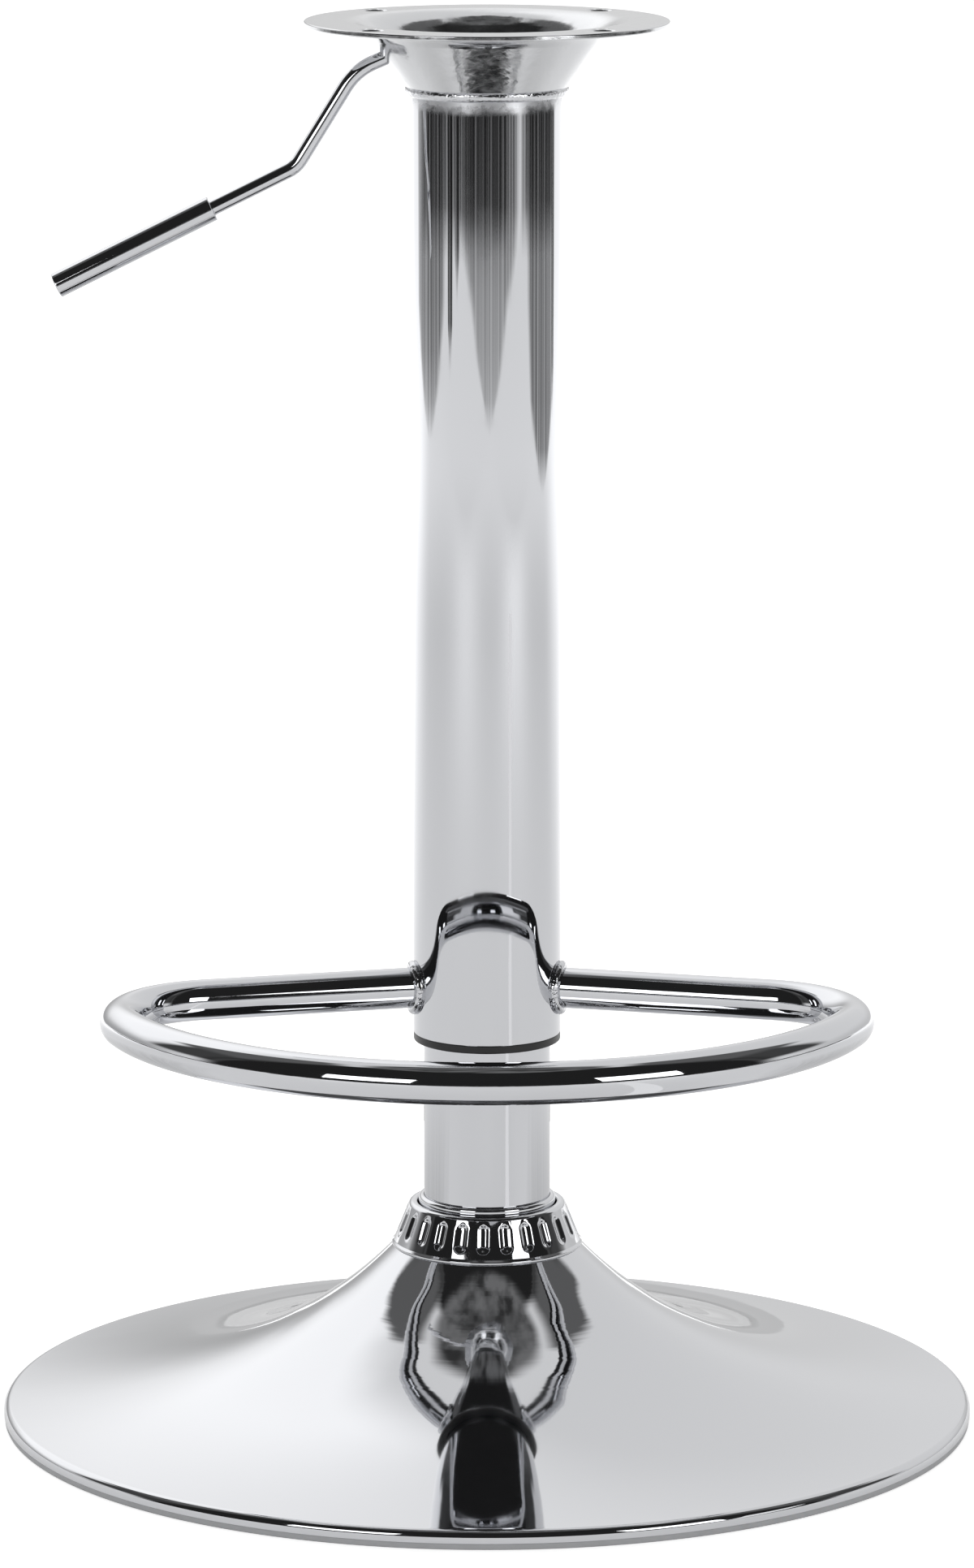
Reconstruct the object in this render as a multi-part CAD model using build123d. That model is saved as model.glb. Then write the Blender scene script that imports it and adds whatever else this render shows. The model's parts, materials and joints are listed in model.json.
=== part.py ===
from build123d import *
from math import atan, cos, degrees, exp, hypot, pi, radians, sin, sqrt, tan
import os

# Base of a height-adjustable bar stool: a trumpet foot, a gas lift under a chromed column,
# a hoop for the feet, and a dished plate that carries the seat and the release lever.
# Lengths are in mm. The origin is on the column's axis at the floor, +Z is up,
# and the hoop reaches towards -Y, the front. The column is shown at its lowest.

# Overall sizes
overall_height = 555.0
base_diameter = 385.0
column_diameter = 58.0
stand_diameter = 50.0
column_bottom = 155.8
lift_travel = 210.0

# Foot shell, an exponential flare like a trumpet's bell
shell_sheet = 1.5
rim_round = 3.0
rim_top = 7.4
flare_foot_spread = 8.8
flare_foot_height = 71.0
flare_rate = 2.4
flare_steps = 9
floor_ring_height = 2.5
floor_ring_width = 20.0
floor_ring_inset = 0.3
floor_ring_lip = 4.5
ballast_thickness = 4.0
ballast_edge_gap = 14.5
ballast_hole_radius = 20.0

# Socket and stand tube
stand_wall = 1.5
stand_bottom = 13.0
stand_headroom = 58.0
taper_angle = 0.72
socket_wall = 2.2
socket_top = 89.8
socket_edge_round = 1.5
socket_weld_size = 4.0
bottom_cap_thickness = 4.0

# Collar ring with its pressed dimples
collar_sheet = 1.2
collar_top = 87.2
collar_lip_spread = 7.1
collar_lip_height = 1.5
collar_lip_step = 0.9
collar_top_width = 3.1
collar_socket_gap = 0.4
collar_hem_depth = 3.0
collar_edge_round = 2.2
dimple_count = 24
dimple_first_angle = -92.5
dimple_middle_height = 79.3
dimple_width = 5.0
dimple_length = 11.2
dimple_depth = 0.9
dimple_draft = 20.0

# Gas lift
pressure_diameter = 28.0
pressure_wall = 1.5
pressure_stick_out = 2.0
rod_diameter = 10.0
rod_end_length = 4.0
rod_tip_bottom = 10.5
rod_tip_diameter = 8.0
race_thickness = 1.5
race_radius = 14.5
ball_diameter = 2.8
ball_space = 3.0
ball_circle_radius = 10.6
ball_count = 12
cage_thickness = 1.6
cage_radius = 13.4
cage_bore_radius = 7.6
bump_height = 10.0
bump_wall_gap = 5.5
clip_thickness = 1.2
clip_groove_depth = 0.8
clip_radius = 7.5
clip_drop = 0.4
clip_gap_width = 6.0
guide_height = 24.0
piston_height = 14.0
piston_overtravel = 3.5
valve_floor = 5.0
pin_travel = 3.0
pin_diameter = 6.0
pin_stick_out = 7.2
pin_length = 31.0
pin_chamfer = 0.8
bush_length = 90.0
bush_flange = 2.5

# Column
column_wall = 1.5
ring_flange = 3.1
ring_depth = 30.0
taper_socket_wall = 3.2
taper_socket_length = 38.0
taper_socket_rise = 5.0

# Top plate, a pressed dish with a flat bolting flange
plate_sheet = 2.0
flange_diameter = 141.4
dish_floor_ledge = 3.5
dish_depth = 26.0
dish_lean = 36.3
dish_mouth_round = 14.4
dish_floor_round = 3.0
bolt_spacing = 88.0
bolt_hole_diameter = 8.5
slot_length = 16.5
slot_side_gap = 1.5
slot_wall_offset = 6.0
column_weld_size = 2.8

# Foot hoop
hoop_diameter = 16.0
hoop_wall = 1.5
hoop_rise = 18.6
hoop_half_width = 141.5
hoop_reach = 184.0
hoop_corner_radius = 43.0
hoop_front_radius = 147.0
hoop_root_offset = 5.0
hoop_tilt = 0.9
hoop_weld_size = 3.0

# Release lever
lever_diameter = 6.0
lever_pivot_reach = 27.0
lever_eye_wall = 2.2
lever_eye_flat = 0.4
lever_inner_reach = 4.5
lever_knee_reach = 21.0
lever_shoulder_run = 50.7
lever_shoulder_drop = 12.9
lever_elbow_run = 73.8
lever_elbow_drop = 50.1
lever_tip_run = 167.2
lever_tip_drop = 96.5
lever_knee_bend = 10.0
lever_shoulder_bend = 16.0
lever_elbow_bend = 12.0
grip_wall = 2.0
grip_length = 68.0
grip_plug_length = 3.0
bracket_sheet = 2.0
bracket_ear_wall = 2.4
bracket_foot_half = 4.0
pivot_pin_diameter = 4.0
pivot_head_radius = 3.2
pivot_head_thickness = 1.0

# Clearances
body_gap = 0.3
sleeve_gap = 0.05
running_gap = 0.05
seat_gap = 0.1

# Worked-out sizes shared by several pieces
base_radius = base_diameter / 2
column_radius = column_diameter / 2
column_bore_radius = column_radius - column_wall
stand_radius = stand_diameter / 2
stand_bore_radius = stand_radius - stand_wall
socket_radius = stand_radius + socket_wall
collar_bore_radius = socket_radius + collar_socket_gap
collar_top_radius = collar_bore_radius + collar_top_width
collar_lip_radius = collar_top_radius + collar_lip_spread
flare_foot_radius = socket_radius + flare_foot_spread
hoop_radius = hoop_diameter / 2
rod_radius = rod_diameter / 2
rod_tip_radius = rod_tip_diameter / 2
pin_radius = pin_diameter / 2
pivot_pin_radius = pivot_pin_diameter / 2
lever_radius = lever_diameter / 2
grip_radius = lever_radius + grip_wall
bracket_ear_radius = pivot_pin_radius + bracket_ear_wall
lever_eye_radius = pivot_pin_radius + lever_eye_wall
lever_eye_width = lever_diameter + lever_eye_flat
lever_pivot_x = -lever_pivot_reach
slot_width = lever_diameter + 2 * slot_side_gap
dish_floor_radius = column_radius + dish_floor_ledge
plate_underside = overall_height - plate_sheet
dish_floor_top = overall_height - dish_depth + plate_sheet
dish_floor_underside = dish_floor_top - plate_sheet
column_top = dish_floor_underside
hoop_height = column_bottom + hoop_rise
taper_socket_top = dish_floor_top + taper_socket_rise
taper_socket_bottom = taper_socket_top - taper_socket_length
pressure_top = taper_socket_top + pressure_stick_out
pin_top = pressure_top + pin_stick_out
pin_bottom = pin_top - pin_length
valve_bore_bottom = pin_bottom - pin_travel - body_gap
lever_level = pin_top + body_gap + lever_radius
lever_shoulder = (-lever_shoulder_run, lever_level - lever_shoulder_drop)
lever_elbow = (-lever_elbow_run, lever_level - lever_elbow_drop)
lever_tip = (-lever_tip_run, lever_level - lever_tip_drop)
stand_top = taper_socket_bottom - stand_headroom
bump_radius = stand_radius - stand_wall - bump_wall_gap
ballast_bottom = floor_ring_height
ballast_top = ballast_bottom + ballast_thickness
lower_race_bottom = stand_bottom + bottom_cap_thickness
ball_space_bottom = lower_race_bottom + race_thickness
upper_race_bottom = ball_space_bottom + ball_space
rod_shoulder = upper_race_bottom + race_thickness
bump_top = rod_shoulder + bump_height
pressure_bottom = bump_top + body_gap
pressure_radius = pressure_diameter / 2
pressure_bore_radius = pressure_radius - pressure_wall
guide_top = pressure_bottom + guide_height
piston_bottom = guide_top + lift_travel + piston_overtravel
rod_top = piston_bottom + piston_height + rod_end_length
cylinder_fill_radius = pressure_bore_radius - sleeve_gap


def taper_loss(length):
    """How much radius a taper of this length loses."""
    return length * tan(radians(taper_angle))


def flare_height(radius):
    """Height of the foot's outer skin at a radius, falling exponentially to the rim."""
    rim_radius = base_radius - rim_round
    step = (radius - flare_foot_radius) / (rim_radius - flare_foot_radius)
    share = (exp(-flare_rate * step) - exp(-flare_rate)) / (1 - exp(-flare_rate))
    return rim_top + (flare_foot_height - rim_top) * share


def flare_sheet_height(radius):
    """Height of the foot's inner skin, one sheet thickness below the outer one."""
    step = 0.01
    slope = (flare_height(radius + step) - flare_height(radius)) / step
    return flare_height(radius) - shell_sheet * hypot(1, slope)


def flare_curve(first_radius, last_radius, height_at):
    """A smooth curve along the flare between two radii."""
    span = last_radius - first_radius
    radii = [first_radius + span * (i / flare_steps) ** 1.5 for i in range(flare_steps + 1)]
    return Spline(*[(radius, height_at(radius)) for radius in radii])


def revolved(section):
    """Turns a section drawn as (radius, height) about the column's axis."""
    return revolve(Plane.XZ * section, Axis.Z)


def outline(*points):
    """A closed section with straight sides."""
    return make_face(Polyline(*points, close=True))


def corner(section, radius, height):
    """The section's corner nearest to a point."""
    return section.vertices().sort_by_distance((radius, height, 0))[0]


def ring(outer_radius, inner_radius, bottom, top):
    """A plain ring about the column's axis."""
    return revolved(
        outline(
            (inner_radius, bottom),
            (outer_radius, bottom),
            (outer_radius, top),
            (inner_radius, top),
        )
    )


def disc(radius, bottom, top):
    """A plain disc or rod about the column's axis."""
    return Pos(0, 0, bottom) * Cylinder(radius, top - bottom, align=(Align.CENTER, Align.CENTER, Align.MIN))


def stand_radius_at(height):
    """Outer radius of the stand tube, which tapers inside its socket."""
    return stand_radius - taper_loss(max(0.0, socket_top - height))


def pressure_radius_at(height):
    """Outer radius of the pressure tube, which tapers inside the top socket."""
    return pressure_radius - taper_loss(max(0.0, height - taper_socket_bottom))


# The foot

def base_shell():
    """Pressed foot: trumpet flare, rounded rim and a short upright edge."""
    neck_radius = socket_radius + running_gap
    rim_radius = base_radius - rim_round
    wall_radius = base_radius - shell_sheet
    outer = flare_curve(neck_radius, rim_radius, flare_height)
    inner = flare_curve(neck_radius, rim_radius, flare_sheet_height)
    outer_corner = (base_radius, rim_top - rim_round)
    inner_corner = (wall_radius, rim_top - rim_round)
    rim_inner_height = flare_sheet_height(rim_radius)
    edges = [
        outer,
        ThreePointArc((rim_radius, rim_top), (rim_radius + rim_round * sin(pi / 4),
                      rim_top - rim_round + rim_round * cos(pi / 4)), outer_corner),
        Line(outer_corner, (base_radius, floor_ring_height)),
        Line((base_radius, floor_ring_height), (wall_radius, floor_ring_height)),
        Line((wall_radius, floor_ring_height), inner_corner),
        Line(inner_corner, (rim_radius, rim_inner_height)),
        inner,
        Line((neck_radius, flare_sheet_height(neck_radius)), (neck_radius, flare_height(neck_radius))),
    ]
    return revolved(make_face(edges))


def floor_ring():
    """Plastic ring under the rim, with a lip that locates it inside the shell."""
    outer_radius = base_radius - floor_ring_inset
    lip_outer = base_radius - shell_sheet - body_gap
    lip_inner = base_radius - ballast_edge_gap + body_gap
    section = outline(
        (outer_radius - floor_ring_width, 0),
        (outer_radius, 0),
        (outer_radius, floor_ring_height),
        (lip_outer, floor_ring_height),
        (lip_outer, floor_ring_lip),
        (lip_inner, floor_ring_lip),
        (lip_inner, floor_ring_height),
        (outer_radius - floor_ring_width, floor_ring_height),
    )
    return revolved(section)


def ballast_plate():
    """Heavy steel plate that lies on the floor ring's inner ledge."""
    return ring(base_radius - ballast_edge_gap, ballast_hole_radius, ballast_bottom, ballast_top)


def base_socket():
    """Steel socket with a taper bore for the stand tube."""
    bore_bottom = stand_radius_at(ballast_top) + sleeve_gap
    bore_top = stand_radius + sleeve_gap
    section = outline(
        (bore_bottom, ballast_top),
        (socket_radius, ballast_top),
        (socket_radius, socket_top),
        (bore_top, socket_top),
    )
    return revolved(fillet(corner(section, socket_radius, socket_top), socket_edge_round))


def socket_weld():
    """Weld bead between the socket's foot and the ballast plate."""
    section = outline(
        (socket_radius, ballast_top),
        (socket_radius + socket_weld_size, ballast_top),
        (socket_radius, ballast_top + socket_weld_size),
    )
    return revolved(section)


def collar_ring():
    """Chromed ring over the shell's neck, with oval dimples pressed round its wall."""
    lip_inner = collar_lip_radius - collar_lip_step - collar_sheet
    wall_foot = collar_lip_radius - collar_lip_step
    lip_bottom = flare_height(collar_lip_radius) + seat_gap
    lip_inner_bottom = flare_height(lip_inner) + seat_gap
    section = outline(
        (lip_inner, lip_inner_bottom),
        (collar_lip_radius, lip_bottom),
        (collar_lip_radius, lip_bottom + collar_lip_height),
        (wall_foot, lip_bottom + collar_lip_height + collar_lip_step),
        (collar_top_radius, collar_top),
        (collar_bore_radius, collar_top),
        (collar_bore_radius, collar_top - collar_hem_depth),
        (collar_bore_radius + collar_sheet, collar_top - collar_hem_depth),
        (collar_bore_radius + collar_sheet, collar_top - collar_sheet),
        (collar_top_radius - collar_sheet, collar_top - collar_sheet),
    )
    section = fillet(corner(section, collar_top_radius, collar_top), collar_edge_round)
    section = fillet(corner(section, collar_bore_radius, collar_top), collar_sheet * 0.9)
    wall_height = collar_top - lip_bottom - collar_lip_height - collar_lip_step
    lean = degrees(atan((wall_foot - collar_top_radius) / wall_height))
    middle_radius = collar_top_radius + (collar_top - dimple_middle_height) * tan(radians(lean))
    cutter = extrude(SlotOverall(dimple_length, dimple_width), -dimple_depth, taper=dimple_draft)
    on_wall = Pos(middle_radius, 0, dimple_middle_height) * Rot(0, 90 - lean, 0)
    turns = [dimple_first_angle + i * 360 / dimple_count for i in range(dimple_count)]
    dimples = [Rot(0, 0, turn) * on_wall * cutter for turn in turns]
    return revolved(section) - dimples


def stand_tube():
    """Chromed lower tube, tapered at its foot to lock in the socket."""
    foot_outer = stand_radius_at(stand_bottom)
    section = outline(
        (foot_outer - stand_wall, stand_bottom),
        (foot_outer, stand_bottom),
        (stand_radius, socket_top),
        (stand_radius, stand_top),
        (stand_bore_radius, stand_top),
        (stand_bore_radius, socket_top),
    )
    return revolved(section)


def bottom_cap():
    """Disc crimped into the stand tube's foot, which carries the thrust bearing."""
    radius = stand_radius_at(stand_bottom) - stand_wall - sleeve_gap
    return ring(radius, rod_tip_radius + body_gap, stand_bottom, stand_bottom + bottom_cap_thickness)


def guide_bush():
    """Long plastic bush in the stand tube's top, where the pressure tube slides."""
    bore = pressure_radius + running_gap
    section = outline(
        (bore, stand_top - bush_length),
        (stand_bore_radius - sleeve_gap, stand_top - bush_length),
        (stand_bore_radius - sleeve_gap, stand_top),
        (stand_radius, stand_top),
        (stand_radius, stand_top + bush_flange),
        (bore, stand_top + bush_flange),
    )
    return revolved(section)


# The thrust bearing

def lower_race():
    """Fixed washer of the thrust bearing."""
    return ring(race_radius, rod_tip_radius + body_gap, lower_race_bottom, ball_space_bottom)


def ball_places():
    """Turns round the axis at which the bearing's balls sit."""
    return [Rot(0, 0, i * 360 / ball_count) * Pos(ball_circle_radius, 0, 0) for i in range(ball_count)]


def bearing_balls():
    """Balls that roll between the two races."""
    middle = ball_space_bottom + ball_space / 2
    return Compound([Pos(0, 0, middle) * place * Sphere(ball_diameter / 2) for place in ball_places()])


def ball_cage():
    """Thin ring that keeps the balls apart."""
    middle = ball_space_bottom + ball_space / 2
    plain = ring(cage_radius, cage_bore_radius, middle - cage_thickness / 2, middle + cage_thickness / 2)
    pocket = Cylinder(ball_diameter / 2 + seat_gap, ball_space)
    return plain - [Pos(0, 0, middle) * place * pocket for place in ball_places()]


def upper_race():
    """Washer that turns with the piston rod, under its shoulder."""
    return ring(race_radius, rod_tip_radius + sleeve_gap, upper_race_bottom, rod_shoulder)


# The gas lift

def piston_rod():
    """Rod with a stepped tip that hangs on the clip and stands on the bearing."""
    clip_top = stand_bottom - clip_drop
    clip_bottom = clip_top - clip_thickness
    groove_radius = rod_tip_radius - clip_groove_depth
    section = outline(
        (0, rod_tip_bottom),
        (rod_tip_radius, rod_tip_bottom),
        (rod_tip_radius, clip_bottom),
        (groove_radius, clip_bottom),
        (groove_radius, clip_top),
        (rod_tip_radius, clip_top),
        (rod_tip_radius, rod_shoulder),
        (rod_radius, rod_shoulder),
        (rod_radius, rod_top),
        (0, rod_top),
    )
    return revolved(section)


def retaining_clip():
    """Spring clip in the rod tip's groove, below the bottom cap."""
    clip_top = stand_bottom - clip_drop
    groove_radius = rod_tip_radius - clip_groove_depth
    whole = ring(clip_radius, groove_radius + sleeve_gap, clip_top - clip_thickness, clip_top)
    mouth = Pos(clip_radius, 0, clip_top) * Box(2 * clip_radius, clip_gap_width, 4 * clip_thickness)
    return whole - mouth


def bump_washer():
    """Rubber washer that cushions the lift at its lowest."""
    return ring(bump_radius, rod_radius + sleeve_gap, rod_shoulder, bump_top)


def piston():
    """Piston on the rod's top, which ends the upward travel at the guide."""
    return ring(
        cylinder_fill_radius, rod_radius + sleeve_gap, piston_bottom, piston_bottom + piston_height
    )


def pressure_tube():
    """Gas cylinder, tapered at its top to lock in the plate's socket."""
    top_outer = pressure_radius_at(pressure_top)
    section = outline(
        (pressure_bore_radius, pressure_bottom),
        (pressure_radius, pressure_bottom),
        (pressure_radius, taper_socket_bottom),
        (top_outer, pressure_top),
        (pressure_bore_radius, pressure_top),
    )
    return revolved(section)


def rod_guide():
    """Guide and seal where the rod enters the cylinder."""
    return ring(cylinder_fill_radius, rod_radius + running_gap, pressure_bottom, guide_top)


def valve_housing():
    """Plug in the cylinder's top with a blind bore for the release pin."""
    whole = disc(cylinder_fill_radius, valve_bore_bottom - valve_floor, pressure_top)
    return whole - disc(pin_radius + running_gap, valve_bore_bottom, pressure_top)


def valve_pin():
    """Release pin that the lever presses."""
    whole = disc(pin_radius, pin_bottom, pin_top)
    return chamfer(whole.edges().group_by(Axis.Z)[-1], pin_chamfer)


# The column

def column_tube():
    """Chromed outer tube that rises with the seat."""
    return ring(column_radius, column_bore_radius, column_bottom, column_top)


def column_ring():
    """Black plastic ring in the column's mouth, which runs on the stand tube."""
    bore = stand_radius + 2 * running_gap
    section = outline(
        (bore, column_bottom - ring_flange),
        (column_radius, column_bottom - ring_flange),
        (column_radius, column_bottom),
        (column_bore_radius - sleeve_gap, column_bottom),
        (column_bore_radius - sleeve_gap, column_bottom + ring_depth),
        (bore, column_bottom + ring_depth),
    )
    return revolved(section)


def column_weld():
    """Weld bead that joins the column to the top plate's floor."""
    section = outline(
        (column_radius, column_top - column_weld_size),
        (column_radius + column_weld_size * 0.7, column_top - column_weld_size * 0.7),
        (column_radius + column_weld_size, column_top),
        (column_radius, column_top),
    )
    return revolved(section)


def taper_socket():
    """Steel socket through the plate's floor, which grips the cylinder's top."""
    outer_radius = pressure_radius + taper_socket_wall
    section = outline(
        (pressure_radius_at(taper_socket_bottom) + sleeve_gap, taper_socket_bottom),
        (outer_radius, taper_socket_bottom),
        (outer_radius, taper_socket_top),
        (pressure_radius_at(taper_socket_top) + sleeve_gap, taper_socket_top),
    )
    return revolved(section)


def top_plate():
    """Pressed dish with a flat flange, bolt holes and a slot for the lever."""
    lean = radians(dish_lean)
    wall_run = dish_depth - plate_sheet
    inner_floor_radius = dish_floor_radius - plate_sheet / cos(lean)
    inner_mouth_radius = inner_floor_radius + wall_run * tan(lean)
    outer_floor_radius = dish_floor_radius - plate_sheet * tan(lean)
    outer_mouth_radius = outer_floor_radius + wall_run * tan(lean)
    bore_radius = pressure_radius + taper_socket_wall + sleeve_gap
    rim = flange_diameter / 2
    section = outline(
        (bore_radius, dish_floor_underside),
        (outer_floor_radius, dish_floor_underside),
        (outer_mouth_radius, plate_underside),
        (rim, plate_underside),
        (rim, overall_height),
        (inner_mouth_radius, overall_height),
        (inner_floor_radius, dish_floor_top),
        (bore_radius, dish_floor_top),
    )
    section = fillet(corner(section, inner_mouth_radius, overall_height), dish_mouth_round)
    section = fillet(corner(section, outer_mouth_radius, plate_underside), dish_mouth_round - plate_sheet)
    section = fillet(corner(section, inner_floor_radius, dish_floor_top), dish_floor_round)
    plate = revolved(section)
    half = bolt_spacing / 2
    hole = Cylinder(bolt_hole_diameter / 2, 4 * plate_sheet)
    plate = plate - [Pos(x, y, overall_height) * hole for x in (-half, half) for y in (-half, half)]
    slot_middle_height = lever_height_at(-dish_floor_radius - slot_wall_offset)
    slot_middle_x = -(outer_floor_radius + (slot_middle_height - dish_floor_underside) * tan(lean))
    cutter = extrude(SlotOverall(slot_length, slot_width), 4 * plate_sheet, both=True)
    return plate - Pos(slot_middle_x, 0, slot_middle_height) * Rot(0, 90 + degrees(lean), 0) * cutter


# The foot hoop

def hoop_path():
    """Centre line of the hoop, drawn level and then tipped up a little at the front."""
    front_centre_y = hoop_front_radius - hoop_reach
    corner_x = hoop_half_width - hoop_corner_radius
    between = hoop_front_radius - hoop_corner_radius
    corner_y = front_centre_y - sqrt(between ** 2 - corner_x ** 2)
    root_x = sqrt(column_radius ** 2 - hoop_root_offset ** 2) - 2 * hoop_wall
    root = (root_x, -hoop_root_offset)
    meet_x = corner_x * hoop_front_radius / between
    meet_y = front_centre_y + (corner_y - front_centre_y) * hoop_front_radius / between
    to_centre = hypot(corner_x - root_x, corner_y + hoop_root_offset)
    aim = atan((-hoop_root_offset - corner_y) / (corner_x - root_x))
    swing = atan(hoop_corner_radius / sqrt(to_centre ** 2 - hoop_corner_radius ** 2))
    arm = aim - swing
    touch = (corner_x + hoop_corner_radius * sin(arm), corner_y + hoop_corner_radius * cos(arm))
    widest = (hoop_half_width, corner_y)
    right_arm = Line(root, touch)
    right_corner = ThreePointArc(touch, widest, (meet_x, meet_y))
    front = ThreePointArc((meet_x, meet_y), (0, -hoop_reach), (-meet_x, meet_y))
    left_corner = mirror(right_corner, Plane.YZ)
    left_arm = mirror(right_arm, Plane.YZ)
    level = Wire([right_arm.edge(), right_corner.edge(), front.edge(), left_corner.edge(), left_arm.edge()])
    tipped = Rot(-hoop_tilt, 0, 0) * Pos(0, hoop_root_offset, 0) * level
    return Pos(0, -hoop_root_offset, hoop_height) * tipped


def hoop_rod(radius):
    """A solid rod of some radius along the hoop's centre line."""
    path = hoop_path()
    section = Plane(path @ 0, z_dir=path % 0) * Circle(radius)
    return sweep(section, path)


def foot_hoop():
    """Bent tube for the feet, cut at both ends to fit the column."""
    column_space = Pos(0, 0, hoop_height) * Cylinder(column_radius, 4 * hoop_diameter)
    return hoop_rod(hoop_radius) - hoop_rod(hoop_radius - hoop_wall) - column_space


def hoop_welds():
    """The two beads where the hoop's arms meet the column."""
    path = hoop_path()
    column_space = Pos(0, 0, hoop_height) * Cylinder(column_radius, 4 * hoop_diameter)
    arm_start = Plane(path @ 0, z_dir=path % 0)
    bead_foot = hoop_radius + hoop_weld_size
    bead_length = 2 * hoop_wall + 3 * hoop_weld_size
    bead = arm_start * Pos(0, 0, bead_length / 2) * Cone(bead_foot, hoop_radius, bead_length)
    tube_space = arm_start * Cylinder(hoop_radius, 4 * bead_length)
    right = bead - tube_space - column_space
    return Compound([right.solid(), mirror(right, Plane.YZ).solid()])


# The release lever

def lever_height_at(x):
    """Height of the lever's centre line between its knee and its shoulder."""
    fall = lever_shoulder_drop / (lever_shoulder_run - lever_knee_reach)
    return lever_level - (-lever_knee_reach - x) * fall


def lever_outwards():
    """Direction of the lever's outer arm, along X and Z."""
    run = (lever_tip[0] - lever_elbow[0], lever_tip[1] - lever_elbow[1])
    return (run[0] / hypot(*run), run[1] / hypot(*run))


def lever_path():
    """Centre line of the lever in the plane Y = 0, from the valve outwards."""
    along_x, along_z = lever_outwards()
    rod_end = (lever_tip[0] - grip_plug_length * along_x, lever_tip[1] - grip_plug_length * along_z)
    inner_end = (lever_inner_reach, lever_level)
    knee = (-lever_knee_reach, lever_level)
    points = [inner_end, knee, lever_shoulder, lever_elbow, rod_end]
    bends = [lever_knee_bend, lever_shoulder_bend, lever_elbow_bend]
    return Plane.XZ * FilletPolyline(*points, radius=bends)


def lever_rod():
    """Bent steel rod with a flattened eye for its pivot pin."""
    path = lever_path()
    rod = sweep(Plane(path @ 0, z_dir=path % 0) * Circle(lever_radius), path)
    pivot = Pos(lever_pivot_x, 0, lever_height_at(lever_pivot_x)) * Rot(90, 0, 0)
    eye = pivot * Cylinder(lever_eye_radius, lever_eye_width)
    bore = pivot * Cylinder(pivot_pin_radius + running_gap, 2 * lever_eye_width)
    return rod + eye - bore


def grip_place():
    """Frame at the grip's outer end, with Z pointing outwards along the lever."""
    along_x, along_z = lever_outwards()
    return Plane((lever_tip[0], 0, lever_tip[1]), z_dir=(along_x, 0, along_z))


def lever_grip():
    """Sleeve pushed over the lever's outer end."""
    middle = grip_place() * Pos(0, 0, -grip_length / 2)
    sleeve = middle * Cylinder(grip_radius, grip_length)
    return sleeve - middle * Cylinder(lever_radius + sleeve_gap, 2 * grip_length)


def grip_plug():
    """Small stop in the grip's mouth, against the rod's end."""
    return grip_place() * Pos(0, 0, -grip_plug_length / 2) * Cylinder(lever_radius, grip_plug_length)


def lever_bracket():
    """Folded bracket on the dish's floor, with two ears for the pivot pin."""
    pivot_height = lever_height_at(lever_pivot_x)
    ear_inner = lever_eye_width / 2 + body_gap
    ear_outer = ear_inner + bracket_sheet
    foot_middle = lever_pivot_x + bracket_ear_radius
    foot = Pos(foot_middle, 0, dish_floor_top + bracket_sheet / 2) * Box(
        2 * bracket_foot_half, 2 * ear_outer, bracket_sheet
    )
    ear_outline = outline(
        (foot_middle - bracket_foot_half, dish_floor_top),
        (foot_middle + bracket_foot_half, dish_floor_top),
        (lever_pivot_x + bracket_ear_radius, pivot_height),
        (lever_pivot_x - bracket_ear_radius, pivot_height),
    ) + Pos(lever_pivot_x, pivot_height) * Circle(bracket_ear_radius)
    ear_outline = ear_outline - Pos(lever_pivot_x, pivot_height) * Circle(pivot_pin_radius + sleeve_gap)
    near_ear = Pos(0, -ear_inner, 0) * extrude(Plane.XZ * ear_outline, bracket_sheet)
    far_ear = mirror(near_ear, Plane.XZ)
    return foot + near_ear + far_ear


def pivot_pin():
    """Headed pin through the bracket's ears and the lever's eye."""
    ear_outer = lever_eye_width / 2 + body_gap + bracket_sheet
    place = Pos(lever_pivot_x, 0, lever_height_at(lever_pivot_x)) * Rot(90, 0, 0)
    shank = place * Cylinder(pivot_pin_radius, 2 * ear_outer)
    head = Cylinder(pivot_head_radius, pivot_head_thickness)
    head_middle = ear_outer + pivot_head_thickness / 2
    return shank + place * Pos(0, 0, head_middle) * head + place * Pos(0, 0, -head_middle) * head


pieces = {
    "base_shell": base_shell,
    "floor_ring": floor_ring,
    "ballast_plate": ballast_plate,
    "base_socket": base_socket,
    "socket_weld": socket_weld,
    "collar_ring": collar_ring,
    "stand_tube": stand_tube,
    "bottom_cap": bottom_cap,
    "guide_bush": guide_bush,
    "lower_race": lower_race,
    "bearing_balls": bearing_balls,
    "ball_cage": ball_cage,
    "upper_race": upper_race,
    "piston_rod": piston_rod,
    "retaining_clip": retaining_clip,
    "bump_washer": bump_washer,
    "piston": piston,
    "pressure_tube": pressure_tube,
    "rod_guide": rod_guide,
    "valve_housing": valve_housing,
    "valve_pin": valve_pin,
    "column_tube": column_tube,
    "column_ring": column_ring,
    "column_weld": column_weld,
    "taper_socket": taper_socket,
    "top_plate": top_plate,
    "foot_hoop": foot_hoop,
    "hoop_welds": hoop_welds,
    "lever_rod": lever_rod,
    "lever_grip": lever_grip,
    "grip_plug": grip_plug,
    "lever_bracket": lever_bracket,
    "pivot_pin": pivot_pin,
}

os.makedirs("parts", exist_ok=True)
for node, make in pieces.items():
    export_step(make(), f"parts/{node}.step")
    print("wrote", node)
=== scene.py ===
# %% [markdown]
# # The base of a bar stool, in chrome
# The real object is a trumpet foot, a lower tube, an outer column that rises on a gas lift, a hoop for
# the feet, a dished plate for the seat and a bent release lever. Nearly every surface is polished chrome.
# Chrome has almost no colour of its own: what the eye sees is the room, bent by the shape. So the lesson
# is about two things: surfaces whose curves run on without a kink, and a small studio for them to mirror.

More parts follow.
